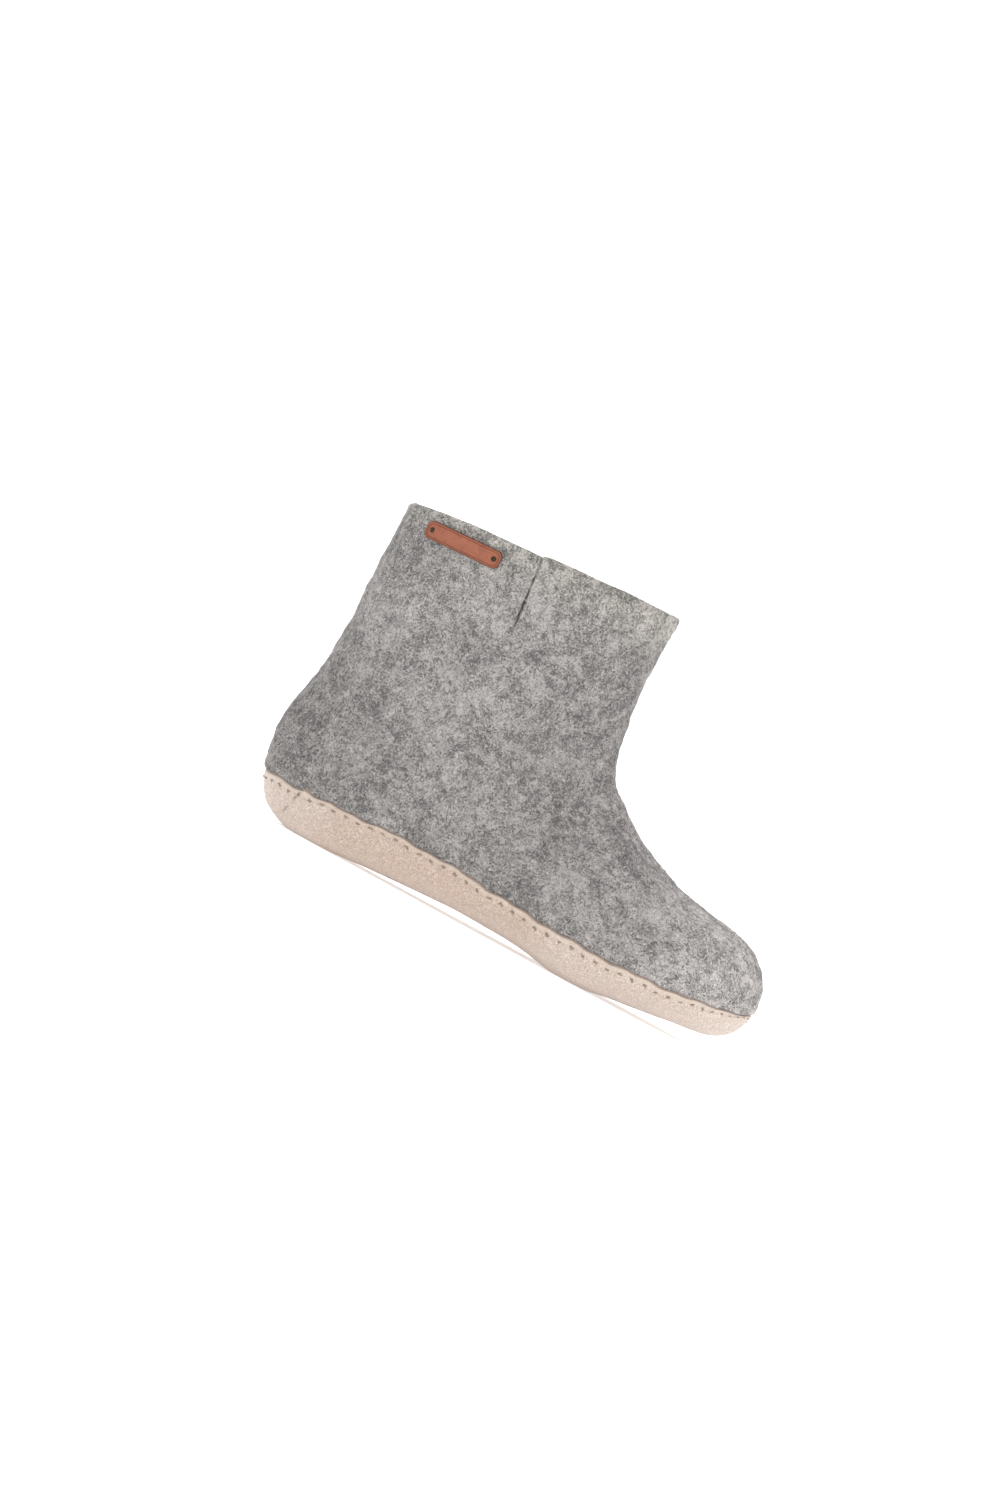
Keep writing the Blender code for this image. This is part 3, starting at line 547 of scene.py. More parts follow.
class SoleShape:
    """The suede tray as rings that run round the boot, from its stitched edge down the wall and
    under the foot to a line along the middle of the sole."""

    pairs = 330
    near_rings = np.array((0, 0.1, 0.25, 0.45, 0.7, 1.0, 1.4, 1.9, 2.4, 3.0, 3.6, 4.2, 4.9, 5.8, 7.4, 9.4, 12.0)) / 1000
    far_rings = 26
    middle_end = 0.094

    def __init__(self, last, sole):
        self.last, self.sole = last, sole
        fine = np.linspace(0, last.top, 8001)
        under = last.skin(fine, np.full_like(fine, BACK))
        below = np.flatnonzero(under[:, 2] < last.suede_edge(under[:, 0]))
        self.first, self.final = fine[below[0]], fine[below[-1]]
        share = (1 - np.cos(np.pi * np.linspace(0, 1, 1601))) / 2
        t = self.first + (self.final - self.first) * share
        up = last.crossing(t, last.suede_edge)
        up[[0, -1]] = 0
        edge = last.skin(t, BACK + up)
        run = arc_lengths(edge)
        even = np.linspace(0, run[-1], self.pairs + 1)
        t, up = np.interp(even, run, t), np.interp(even, run, up)
        up[[0, -1]] = 0
        x = last.skin(t, BACK + up)[:, 0]
        ratio = x / self.middle_end
        target_x = self.middle_end * ratio / (1 + np.abs(ratio) ** 6) ** (1 / 6)
        reach = fine[(under[:, 0] > -0.12) & (fine < 11)]
        along = last.skin(reach, np.full_like(reach, BACK))[:, 0]
        target = np.interp(-target_x, -along, reach)
        there = np.arange(self.pairs + 1)
        order = np.concatenate([there, there[-2::-1]])
        side = np.concatenate([np.ones(self.pairs + 1), -np.ones(self.pairs)])
        self.edge_t, self.edge_up, self.target = t[order], up[order] * side, target[order]
        self.t, self.angle, self.depth = self.rings()
        self.skin = last.skin(self.t, self.angle)
        self.normals = last.normals(self.t, self.angle)
        self.seam_ring = int(np.argmin(np.abs(self.near_rings - sole.stitch_below_edge)))
        self.along = arc_lengths(self.skin[:, self.seam_ring])

    def path(self, samples=181):
        """Section numbers and angles on straight ways from the edge to the sole's middle line."""
        share = np.linspace(0, 1, samples)
        t = self.edge_t[:, None] + (self.target - self.edge_t)[:, None] * share
        return t, BACK + self.edge_up[:, None] * (1 - share)

    def rings(self):
        t, angle = self.path()
        run = arc_lengths(self.last.skin(t, angle))
        near = self.near_rings[:-1]
        far = self.near_rings[-1] + (run[:, -1:] - self.near_rings[-1]) * np.linspace(0, 1, self.far_rings + 1)
        depth = np.concatenate([np.repeat(near[None], len(run), axis=0), far], axis=1)
        ring_t = np.array([np.interp(d, r, v) for d, r, v in zip(depth, run, t)])
        ring_angle = np.array([np.interp(d, r, v) for d, r, v in zip(depth, run, angle)])
        return ring_t, ring_angle, depth

    def heel_seam(self, points):
        """Signed distance from the seam that closes the suede on the heel's outer side."""
        lean = (points[..., 2] - 0.0187) * 0.264
        distance = points[..., 0] + 0.1082 - lean
        return np.where(points[..., 1] < 0, distance, 0.05)

    def outside(self):
        """Points of the suede's outer face."""
        s = self.sole
        d = self.depth
        p = self.skin
        below = d - s.stitch_below_edge
        phase = self.along[:, None] / self.pitch() * 2 * np.pi
        groove = 0.00008 * np.exp(-((below / 0.0009) ** 2))
        pucker = 0.00020 * np.cos(phase) * np.exp(-((below / 0.0022) ** 2))
        swell = 0.00030 * np.exp(-(((d - 0.0062) / 0.003) ** 2))
        seam = self.heel_seam(p)
        seam_groove = 0.0007 * np.exp(-((seam / 0.0010) ** 2)) * smooth_step(0.002, 0.006, p[..., 2])
        tab = 0.0020 * np.exp(-(((seam - 0.0030) / 0.0026) ** 2)) * smooth_step(0.012, 0.017, p[..., 2])
        toe_lip = 0.0009 * smooth_step(0.112, 0.126, p[..., 0]) * np.exp(-((d / 0.0022) ** 2))
        waves = layered_noise(p, 0.017, 3, 5) * 0.00016
        inwards = s.sink + rounded(d, s.wall / 2) + groove + pucker + seam_groove
        inwards = inwards - swell - tab - toe_lip - waves * smooth_step(0, 0.003, d)
        points = p - self.normals * inwards[..., None]
        ragged = layered_noise(p, 0.008, 3, 8) * 0.00022 * np.exp(-d / 0.003)
        points[..., 2] += ragged + 0.0020 * np.exp(-(((seam - 0.003) / 0.0026) ** 2) - d / 0.002)
        points[..., 2] = np.maximum(points[..., 2], 0)
        return points

    def pitch(self):
        """Distance from stitch to stitch that fits a whole number of them round the boot."""
        return self.along[-1] / round(self.along[-1] / self.sole.stitch_pitch)

    def inside(self, rings):
        """Points of the tray's inner wall and floor on some of the rings."""
        s = self.sole
        back = s.sink + s.wall - rounded(self.depth[:, rings], s.wall / 2)
        edge = self.outside()[:, :1] - (self.skin[:, :1] - self.normals[:, :1] * (s.sink + s.wall / 2))
        points = self.skin[:, rings] - self.normals[:, rings] * back[..., None]
        points += edge * np.exp(-self.depth[:, rings] / 0.002)[..., None]
        lowest = self.last.floor_line(points[..., 0])
        deep = self.depth[:, rings] > 0.009
        points[..., 2] = np.where(deep, np.maximum(points[..., 2], lowest), points[..., 2])
        return points

    def outline(self, inwards, raised):
        """Where the wall's inner face, moved inwards, meets a height above the sole's floor."""
        t, angle = self.path()
        points = self.last.moved(t, angle, np.full(t.shape, inwards))
        over = points[..., 2] - self.last.floor_line(points[..., 0]) - raised
        return np.array([[np.interp(0, -o, c) for c in p.T] for o, p in zip(over, points)])


class FeltShape:
    """The felt wall: rows from toe to collar, each running from the foot on the inner side over
    the front to the slit, and from the slit to the foot on the outer side."""

    leg = 6
    front_columns = 231
    rear_columns = 75
    ratio = 3
    gapes = np.array(((0.0, 0.26), (0.35, 0.30), (0.50, 0.60), (0.68, 1.0), (0.86, 0.80), (1.0, 0.0)))

    def __init__(self, last, felt, sole, tray):
        self.last, self.felt, self.sole = last, felt, sole
        s = last.sizes
        slope = (s.front_height - s.back_height) / s.shaft_depth
        self.collar_z = s.back_height + slope * (felt.slit_from_heel - s.shaft_back)
        busy = ((tray.first, 0.14), (tray.final, 0.35))
        rows = even_sections(last, 0, last.top - 0.32, 214, busy)
        rim = last.top - np.array([0.25, 0.19, 0.14, 0.10, 0.066, 0.040, 0.022, 0.009, 0.0])
        self.t = np.concatenate([rows, rim])
        self.edge = last.crossing(self.t, last.suede_edge)
        inwards = (sole.sink + sole.wall + felt.wall) / 2
        self.foot = np.minimum(last.crossing(self.t, last.floor_line, inwards), self.edge)
        self.lips = {(side, outer): self.lip(side, outer) for side in (1, -1) for outer in (True, False)}
        self.down = self.lips[1, True][1]
        self.open = self.down < 1

    def lip(self, side, outer):
        """Angle of the slit's lip in each section, before it (1) or behind it (-1), and how far
        down the slit that section passes. The lips all but meet on the wall's inner face."""
        fine = np.linspace(OUTER_SIDE - 0.5, OUTER_SIDE + 0.5, 201)
        tt, aa = np.meshgrid(self.t, fine, indexing="ij")
        points = self.last.skin(tt, aa)
        down = (self.collar_z - points[..., 2]) / self.felt.slit_depth
        half = np.interp(down, self.gapes[:, 0], self.gapes[:, 1]) * self.felt.slit_gape / 2
        half = half if outer else half * 0.08
        half = np.where(down < 1, half, 0)
        line = self.felt.slit_from_heel - self.last.middle[0] + np.clip(down, 0, 1.6) * self.felt.slit_lean
        over = line + side * half - points[..., 0]
        angles = np.array([np.interp(0, o, fine) for o in over])
        down = np.array([np.interp(a, fine, d) for a, d in zip(angles, down)])
        weight = smooth_step(2.6, 1.2, down)
        return OUTER_SIDE + (angles - OUTER_SIDE) * weight, down

    def spread(self, start, end, count):
        """Angles between two of each section, even along its outline but closer at both ends."""
        u = (np.arange(count) + 0.5) / count
        weight = 1 - 0.72 * np.exp(-u / 0.025) - 0.72 * np.exp(-(1 - u) / 0.025)
        share = np.concatenate([[0], np.cumsum(weight)]) / weight.sum()
        fine = np.linspace(0, 1, 321)
        angles = start[:, None] + (end - start)[:, None] * fine
        run = arc_lengths(self.last.skin(np.repeat(self.t[:, None], len(fine), axis=1), angles))
        run = run + fine * 1e-9
        return np.array([np.interp(share * r[-1], r, a) for r, a in zip(run, angles)])

    def leg_angles(self, start, end):
        share = np.linspace(0, 1, self.leg + 1)
        return start[:, None] + (end - start)[:, None] * share

    def patch(self, front, outer=True):
        """Section numbers and angles of the patch before the slit, or of the one behind it, on
        the wall's outer face, or on the inner one with its wider columns."""
        step = 1 if outer else self.ratio
        lip = self.lips[1 if front else -1, outer][0]
        if front:
            leg = self.leg_angles(BACK + self.foot, BACK + self.edge)
            main = self.spread(BACK + self.edge, lip, self.front_columns)[:, ::step]
            angle = np.concatenate([leg[:, :-1], main], axis=1)
        else:
            leg = self.leg_angles(BACK + 2 * np.pi - self.edge, BACK + 2 * np.pi - self.foot)
            main = self.spread(lip, BACK + 2 * np.pi - self.edge, self.rear_columns)[:, ::step]
            angle = np.concatenate([main, leg[:, 1:]], axis=1)
        return np.repeat(self.t[:, None], angle.shape[1], axis=1), angle

    def surface(self, front, outer):
        """Points of one face of the wall in one patch."""
        felt, sole, last = self.felt, self.sole, self.last
        t, angle = self.patch(front, outer)
        skin, normals = last.skin(t, angle), last.normals(t, angle)
        to_collar = np.linalg.norm(skin - last.skin(np.full_like(t, last.top), angle), axis=-1)
        run = arc_lengths(skin)
        to_slit = run[:, -1:] - run if front else run
        fade = smooth_step(1.45, 1.0, self.down)[:, None]
        edge_round = rounded(to_collar, 0.0024) + rounded(to_slit, 0.0007) * fade
        if outer:
            above = skin[..., 2] - last.suede_edge(skin[..., 0])
            tuck = (sole.sink + sole.wall + GAP) * smooth_step(0.0006, -0.0010, above)
            bulge = 0.0005 * np.exp(-(((above - 0.003) / 0.003) ** 2))
            lumps = felt_height(skin, felt.lump_height) * smooth_step(-0.001, 0.004, above)
            inwards = edge_round * 0.9 + tuck - bulge - lumps
        else:
            lumps = layered_noise(skin, 0.012, 2, 51) * felt.lump_height * 0.6
            inwards = felt.wall - edge_round * 0.9 + lumps
        points = skin - normals * inwards[..., None]
        near_collar = smooth_step(0.022, 0.0, to_collar)
        points[..., 2] += layered_noise(skin, 0.016, 2, 61) * 0.00035 * near_collar
        if front:
            points[..., 2] -= 0.0006 * np.exp(-((to_slit / 0.0022) ** 2)) * smooth_step(0.006, 0, to_collar)
        else:
            flap = np.clip(1 - to_slit / 0.036, 0, 1)
            points[..., 2] -= felt.flap_step * flap * near_collar
        return points

    def wall(self):
        """Points and faces of the whole wall."""
        blocks, faces, used = [], [], 0
        rows = len(self.t)
        open_foot = self.foot > 0
        for front in (True, False):
            outer, inner = self.surface(front, True), self.surface(front, False)
            wide, narrow = outer.shape[1], inner.shape[1]
            outer_at = used + np.arange(rows * wide).reshape(rows, wide)
            inner_at = used + rows * wide + np.arange(rows * narrow).reshape(rows, narrow)
            faces += [grid_faces(rows, wide, used), grid_faces(rows, narrow, used + rows * wide, True)]
            slit, foot = (-1, 0) if front else (0, -1)
            for column, wanted in ((foot, open_foot), (slit, self.open)):
                some = wanted[:-1] | wanted[1:]
                faces.append(strip_faces(inner_at[:, column], outer_at[:, column])[some])
            main = slice(self.leg, None) if front else slice(None, wide - self.leg)
            main_in = slice(self.leg, None) if front else slice(None, narrow - self.leg)
            top, top_in = outer_at[-1, main], inner_at[-1, main_in]
            parts = [top[k : len(top) - self.ratio + k : self.ratio] for k in range(self.ratio)]
            faces.append(np.stack([*parts, top[self.ratio :: self.ratio], top_in[1:], top_in[:-1]], axis=1))
            blocks += [outer.reshape(-1, 3), inner.reshape(-1, 3)]
            used += rows * (wide + narrow)
        return np.concatenate(blocks), faces


def suede_mesh(tray):
    """Points, faces and edge coordinates of the tray, as one closed skin."""
    outer = tray.outside()
    rings = np.array([0, 2, 4, 6, 9, 13, 15, 17, 20, 25, 31, 37, outer.shape[1] - 1])
    inner = tray.inside(rings)
    columns, deep, shallow = len(outer), outer.shape[1], inner.shape[1]
    points = np.concatenate([outer.reshape(-1, 3), inner.reshape(-1, 3)])
    faces = [grid_faces(columns, deep), grid_faces(columns, shallow, columns * deep, True)]
    along = tray.along / tray.pitch()
    uv = [
        np.stack([np.repeat(along[:, None], d.shape[1], axis=1), d / 0.01], axis=-1).reshape(-1, 2)
        for d in (tray.depth, tray.depth[:, rings])
    ]
    return points, faces, np.concatenate(uv)


def tubes(centres, sides, ups, radii, around):
    """Points and faces of many closed tubes: the centre line plus a circle of the radius at each
    station, spanned by a side and an up direction."""
    turn = np.linspace(0, 2 * np.pi, around, endpoint=False)
    circle = np.cos(turn)[:, None] * sides[..., None, :] + np.sin(turn)[:, None] * ups[..., None, :]
    points = centres[..., None, :] + circle * radii[..., None, None]
    count, stations = centres.shape[:2]
    first = np.arange(count)[:, None, None] * stations * around
    r, c = np.meshgrid(np.arange(stations - 1), np.arange(around), indexing="ij")
    a, b = r * around + c, r * around + (c + 1) % around
    quads = np.stack([a, b, b + around, a + around], axis=-1).reshape(1, -1, 4) + first
    ends = np.stack([np.arange(around)[::-1], (stations - 1) * around + np.arange(around)])
    return points.reshape(-1, 3), [quads.reshape(-1, 4), (ends[None] + first).reshape(-1, around)]


def stitch_mesh(tray, seed=4):
    """One arched piece of thread for each stitch, its ends sunk into the needle holes."""
    s = tray.sole
    line = tray.outside()[:, tray.seam_ring]
    normals = tray.normals[:, tray.seam_ring]
    pitch = tray.pitch()
    count = int(round(tray.along[-1] / pitch))
    random = np.random.default_rng(seed)
    share = np.linspace(-0.5, 0.5, 9)
    wide = s.stitch_length * (1 + random.uniform(-0.4, 0.4, count))
    start = (np.arange(count) + 0.5) * pitch + random.uniform(-0.3, 0.3, count) / 1000
    place = start[:, None] + wide[:, None] * share
    centre = np.stack([np.interp(place, tray.along, line[:, k]) for k in range(3)], axis=-1)
    up = np.stack([np.interp(place, tray.along, normals[:, k]) for k in range(3)], axis=-1)
    up /= np.linalg.norm(up, axis=-1, keepdims=True)
    ahead = np.gradient(centre, axis=1)
    ahead /= np.linalg.norm(ahead, axis=-1, keepdims=True)
    side = np.cross(up, ahead)
    sway = random.uniform(-0.45, 0.45, count)[:, None] / 1000 * (share * 2)
    rise = s.thread * (0.42 - 2.2 * (2 * np.abs(share)) ** 4)
    centre = centre + up * rise[None, :, None] + side * sway[..., None]
    radii = np.broadcast_to(s.thread / 2 * (1 - 0.25 * (2 * np.abs(share)) ** 4), place.shape)
    points, faces = tubes(centre, side, up, radii, 8)
    # how far each point lies towards the thread's ends, for the painted shade where it goes into the suede
    dark = np.repeat(np.broadcast_to((2 * np.abs(share)) ** 3, place.shape).ravel(), 8)
    return points, faces, dark


def insole_mesh(tray, felt):
    """The footbed: rings from its outline to the middle line, above and below."""
    sole, last = tray.sole, tray.last
    outline = tray.outline(felt.wall + GAP, GAP + sole.insole_thickness / 2)
    middle = last.skin(tray.target, np.full(len(tray.target), BACK))
    share = np.array([0, 0.012, 0.03, 0.06, 0.12, 0.2, 0.3, 0.42, 0.56, 0.7, 0.85, 1.0])
    flat = outline[:, None] + (middle - outline)[:, None] * share[:, None]
    half = sole.insole_thickness / 2
    run = np.linalg.norm(flat - flat[:, :1], axis=-1)
    bulge = half - rounded(run, 0.0018) * 0.9
    base = last.floor_line(flat[..., 0]) + GAP + half
    top, bottom = flat.copy(), flat.copy()
    top[..., 2] = base + bulge + layered_noise(flat, 0.02, 2, 71) * 0.0002 * np.clip(run / 0.003, 0, 1)
    bottom[..., 2] = base - bulge
    top[:, 0, 2] = bottom[:, 0, 2] = base[:, 0]
    columns, rings = flat.shape[:2]
    points = np.concatenate([top.reshape(-1, 3), bottom.reshape(-1, 3)])
    return points, [grid_faces(columns, rings), grid_faces(columns, rings, columns * rings, True)]


def on_outer_side(last, x, z):
    """Section numbers and angles of the outer side's points at x and z, by Newton's method."""
    t = np.full(x.shape, last.top - 0.5)
    angle = np.full(x.shape, OUTER_SIDE)
    step = 1e-4
    for _ in range(12):
        here = last.skin(t, angle)
        by_t = (here - last.skin(t - step, angle)) / step
        by_angle = (last.skin(t, angle + step) - here) / step
        dx, dz = x - here[..., 0], z - here[..., 2]
        size = by_t[..., 0] * by_angle[..., 2] - by_t[..., 2] * by_angle[..., 0]
        t = t + np.clip((dx * by_angle[..., 2] - dz * by_angle[..., 0]) / size, -0.6, 0.6)
        t = np.clip(t, last.top - 3, last.top - 1e-6)
        angle = angle + np.clip((by_t[..., 0] * dz - by_t[..., 2] * dx) / size, -0.3, 0.3)
    return t, angle


def tag_mesh(last, settings):
    """The bare leather tag: rings from its outline with clipped corners to its middle line,
    with a rounded edge and a pressed line along it, over a flat back."""
    s = settings
    half, tall = s.size_along / 2, s.size_across / 2
    corner = np.array(((half, 0), (half, tall - s.corner), (half - s.corner, tall), (0, tall)))
    run = arc_lengths(corner)
    even = np.linspace(0, run[-1], 37)
    quarter = np.stack([np.interp(even, run, corner[:, k]) for k in (0, 1)], axis=1)
    turned = quarter[::-1] * (-1, 1)
    upper = np.concatenate([quarter, turned[1:]])
    outline = np.concatenate([upper, upper[-2::-1] * (1, -1)])
    inset = np.array((0, 0.1, 0.25, 0.45, 0.7, 0.95, 1.1, 1.25, 1.4, 1.7, 2.3, 3.2, 4.5)) / 1000
    middle = np.stack([np.clip(outline[:, 0], tall - half, half - tall), np.zeros(len(outline))], axis=1)
    share = inset / inset[-1]
    flat = outline[:, None] + (middle - outline)[:, None] * share[:, None]
    slope = (last.sizes.front_height - last.sizes.back_height) / last.sizes.shaft_depth
    collar = last.sizes.back_height + slope * (s.from_heel - last.sizes.shaft_back)
    x = s.from_heel - last.middle[0] + flat[..., 0] - flat[..., 1] * s.slope
    z = collar - s.below_collar + flat[..., 1] + flat[..., 0] * s.slope
    t, angle = on_outer_side(last, x, z)
    skin, normals = last.skin(t, angle), last.normals(t, angle)
    pressed = 0.00028 * np.exp(-(((inset - 0.0012) / 0.00022) ** 2))
    pad = np.stack([x, z * 0, z], axis=-1)
    uneven = layered_noise(pad, 0.006, 2, 81) * 0.00006
    curl = 0.0004 * (np.abs(flat[..., 0]) / half) ** 4
    height = s.thickness - rounded(inset, 0.0006) * 1.1 - pressed + uneven
    top = skin + normals * (GAP + height + curl)[..., None]
    back = skin + normals * (GAP + rounded(inset, 0.0006) * 0.4)[..., None]
    columns, rings = flat.shape[:2]
    points = np.concatenate([top.reshape(-1, 3), back.reshape(-1, 3)])
    faces = [grid_faces(columns, rings), grid_faces(columns, rings, columns * rings, True)]
    rim = np.arange(columns) * rings
    faces.append(strip_faces(rim + columns * rings, rim))
    edge = np.broadcast_to(inset, flat.shape[:2]).ravel()
    return points, faces, np.concatenate([edge, edge * 0])


def fibre_mesh(points, normals, felt, seed, count, along_z):
    """Loose wool fibres: tapered three-face ribbons that start in the felt's cells, picked by
    area, run low over the surface and bend to one side."""
    random = np.random.default_rng(seed)
    corner = points[:-1, :-1]
    area = np.linalg.norm(np.cross(points[1:, :-1] - corner, points[:-1, 1:] - corner), axis=-1)
    area = area * along_z(corner)
    share = np.cumsum(area.ravel())
    cell = np.searchsorted(share, random.uniform(0, share[-1], count))
    row, column = np.unravel_index(np.minimum(cell, area.size - 1), area.shape)
    u, v = random.uniform(0, 1, (2, count, 1))

    def inside_cell(grid):
        low = grid[row, column] * (1 - u) + grid[row, column + 1] * u
        return low * (1 - v) + (grid[row + 1, column] * (1 - u) + grid[row + 1, column + 1] * u) * v

    base, up = inside_cell(points), inside_cell(normals)
    up = up / np.linalg.norm(up, axis=1, keepdims=True)
    any_way = random.normal(size=(count, 3))
    ahead = any_way - up * np.sum(any_way * up, axis=1, keepdims=True)
    ahead /= np.linalg.norm(ahead, axis=1, keepdims=True)
    side = np.cross(up, ahead)
    long = felt.fibre_length * random.uniform(0.55, 1.5, (count, 1))
    lift = random.uniform(0.02, 0.30, (count, 1)) ** 1.2 + 0.45 * (random.uniform(0, 1, (count, 1)) > 0.72)
    bend = random.uniform(-0.6, 0.6, (count, 1))
    start = base - up * 0.00005
    halfway = start + long * (0.5 * ahead + 0.6 * lift * up + 0.25 * bend * side)
    tip = start + long * (0.9 * ahead + 0.9 * lift * up + bend * side)
    tilt = random.uniform(-0.9, 0.9, (count, 1))
    across = (side * np.cos(tilt) + up * np.sin(tilt)) * felt.fibre_width / 2
    ribbon = np.stack([start - across, start + across, halfway + across * 0.8, halfway - across * 0.8, tip], axis=1)
    first = np.arange(count)[:, None] * 5
    faces = [first + np.array([[0, 1, 2, 3]]), first + np.array([[3, 2, 4]])]
    clump = layered_noise(base, 0.0016, 1, 163) * 0.55
    tone = 0.85 * marble(base) + clump + random.uniform(-0.26, 0.36, count)
    tone = np.repeat(np.clip(tone, 0, 1), 5)
    return ribbon.reshape(-1, 3), faces, tone


class Graph:
    """Short ways to add and join shader nodes in one node tree."""

    def __init__(self, tree):
        self.tree = tree

    def node(self, kind, **inputs):
        """Node of a kind, with values or links put into its named inputs."""
        made = self.tree.nodes.new(kind)
        for key, value in inputs.items():
            self.put(made.inputs[key.replace("_", " ")], value)
        return made

    def put(self, socket, value):
        if isinstance(value, bpy.types.NodeSocket):
            self.tree.links.new(value, socket)
        elif value is not None:
            socket.default_value = value

    def math(self, operation, first, second=None, third=None):
        made = self.tree.nodes.new("ShaderNodeMath")
        made.operation = operation
        for socket, value in zip(made.inputs, (first, second, third)):
            self.put(socket, value)
        return made.outputs[0]

    def remap(self, value, low, high, new_low=0.0, new_high=1.0):
        """Smooth change of a value from one range to another, kept inside the new range."""
        made = self.tree.nodes.new("ShaderNodeMapRange")
        made.interpolation_type = "SMOOTHSTEP"
        for socket, given in zip(made.inputs, (value, low, high, new_low, new_high)):
            self.put(socket, given)
        return made.outputs[0]

    def mix(self, share, first, second, blend="MIX"):
        made = self.tree.nodes.new("ShaderNodeMix")
        made.data_type = "RGBA"
        made.blend_type = blend
        for socket, value in zip((made.inputs[0], made.inputs[6], made.inputs[7]), (share, first, second)):
            self.put(socket, value)
        return made.outputs[2]

    def noise(self, vector, scale, detail=2.0, distortion=0.0):
        made = self.node("ShaderNodeTexNoise", Vector=vector, Scale=scale, Detail=detail, Distortion=distortion)
        return made.outputs["Fac"]

    def group(self, name, **inputs):
        made = self.tree.nodes.new("ShaderNodeGroup")
        made.node_tree = bpy.data.node_groups[name]
        for key, value in inputs.items():
            self.put(made.inputs[key.replace("_", " ")], value)
        return made


def new_group(name, inputs, outputs):
    """Empty node group with (name, socket type, default) inputs and (name, type) outputs."""
    tree = bpy.data.node_groups.new(name, "ShaderNodeTree")
    for key, kind, default in inputs:
        socket = tree.interface.new_socket(key, in_out="INPUT", socket_type=kind)
        if default is not None:
            socket.default_value = default
    for key, kind in outputs:
        tree.interface.new_socket(key, in_out="OUTPUT", socket_type=kind)
    graph = Graph(tree)
    return graph, tree.nodes.new("NodeGroupInput").outputs, tree.nodes.new("NodeGroupOutput").inputs


def make_hair_lines():
    """Node group: thin curly lines, where a twisted noise passes through its middle value."""
    graph, into, out = new_group(
        "Hair lines",
        [
            ("Vector", "NodeSocketVector", None),
            ("Scale", "NodeSocketFloat", 900.0),
            ("Width", "NodeSocketFloat", 0.035),
            ("Twist", "NodeSocketFloat", 1.4),
        ],
        [("Lines", "NodeSocketFloat")],
    )
    value = graph.noise(into["Vector"], into["Scale"], 1.0, into["Twist"])
    away = graph.math("ABSOLUTE", graph.math("SUBTRACT", value, 0.5))
    graph.put(out["Lines"], graph.remap(away, 0.0, into["Width"], 1.0, 0.0))


def make_patches():
    """Node group: soft patches of one size with smaller ones inside them."""
    graph, into, out = new_group(
        "Soft patches",
        [
            ("Vector", "NodeSocketVector", None),
            ("Scale", "NodeSocketFloat", 90.0),
            ("Sharpness", "NodeSocketFloat", 0.12),
            ("Twist", "NodeSocketFloat", 0.6),
        ],
        [("Patch", "NodeSocketFloat")],
    )
    value = graph.noise(into["Vector"], into["Scale"], 3.0, into["Twist"])
    low = graph.math("SUBTRACT", 0.5, into["Sharpness"])
    high = graph.math("ADD", 0.5, into["Sharpness"])
    graph.put(out["Patch"], graph.remap(value, low, high))


def make_painted_light_and_tint():
    """Node group: painted light and shade on the wool, with its own tint: the toe painted paler as if lit, the heel
    painted darker as if shaded, and the collar warmer.
    """
    graph, into, out = new_group(
        "Painted light and wool tint",
        [("Vector", "NodeSocketVector", None), ("Color", "NodeSocketColor", None)],
        [("Color", "NodeSocketColor")],
    )
    spot = graph.node("ShaderNodeSeparateXYZ", Vector=into["Vector"])
    # painted light: the wool made paler towards the toe
    toe = graph.remap(spot.outputs["X"], 0.050, 0.115)
    collar = graph.remap(spot.outputs["Z"], 0.145, 0.172)
    # painted shade: the wool made darker low down on the heel
    heel = graph.math("MULTIPLY", graph.remap(spot.outputs["X"], -0.060, -0.115), graph.remap(spot.outputs["Z"], 0.110, 0.070))
    tone = graph.mix(toe, into["Color"], solid((1.32, 1.32, 1.32)), "MULTIPLY")
    tone = graph.mix(collar, tone, solid((1.15, 1.15, 1.10)), "MULTIPLY")
    graph.put(out["Color"], graph.mix(heel, tone, solid((0.90, 0.90, 0.90)), "MULTIPLY"))


def make_grain():
    """Node group: pebbled leather grain from cells, with a fine noise over it."""
    graph, into, out = new_group(
        "Leather grain",
        [("Vector", "NodeSocketVector", None), ("Scale", "NodeSocketFloat", 1500.0)],
        [("Height", "NodeSocketFloat"), ("Crease", "NodeSocketFloat")],
    )
    cells = graph.node("ShaderNodeTexVoronoi", Vector=into["Vector"], Scale=into["Scale"])
    cells.feature = "DISTANCE_TO_EDGE"
    crease = graph.remap(cells.outputs["Distance"], 0.0, 0.16, 1.0, 0.0)
    fine = graph.noise(into["Vector"], graph.math("MULTIPLY", into["Scale"], 2.3), 2.0)
    graph.put(out["Crease"], crease)
    graph.put(out["Height"], graph.math("SUBTRACT", graph.math("MULTIPLY", fine, 0.4), crease))


def new_material(name, roughness, metallic=0.0, sheen=0.0):
    """Material with its graph, its shader and the object coordinates."""
    made = bpy.data.materials.new(name)
    made.use_nodes = True
    graph = Graph(made.node_tree)
    shader = made.node_tree.nodes["Principled BSDF"]
    shader.inputs["Roughness"].default_value = roughness
    shader.inputs["Metallic"].default_value = metallic
    shader.inputs["Sheen Weight"].default_value = sheen
    shader.inputs["Sheen Roughness"].default_value = 0.7
    shader.inputs["Specular IOR Level"].default_value = 0.25
    place = graph.node("ShaderNodeTexCoord").outputs["Object"]
    return made, graph, shader, place


def bumped(graph, shader, height, distance, strength=1.0):
    bump = graph.node("ShaderNodeBump", Height=height, Distance=distance, Strength=strength)
    graph.put(shader.inputs["Normal"], bump.outputs["Normal"])


def solid(rgb):
    return (*rgb, 1.0)


def between(first, second, share):
    """Colour part of the way from one to another."""
    return tuple(a + (b - a) * share for a, b in zip(first, second))


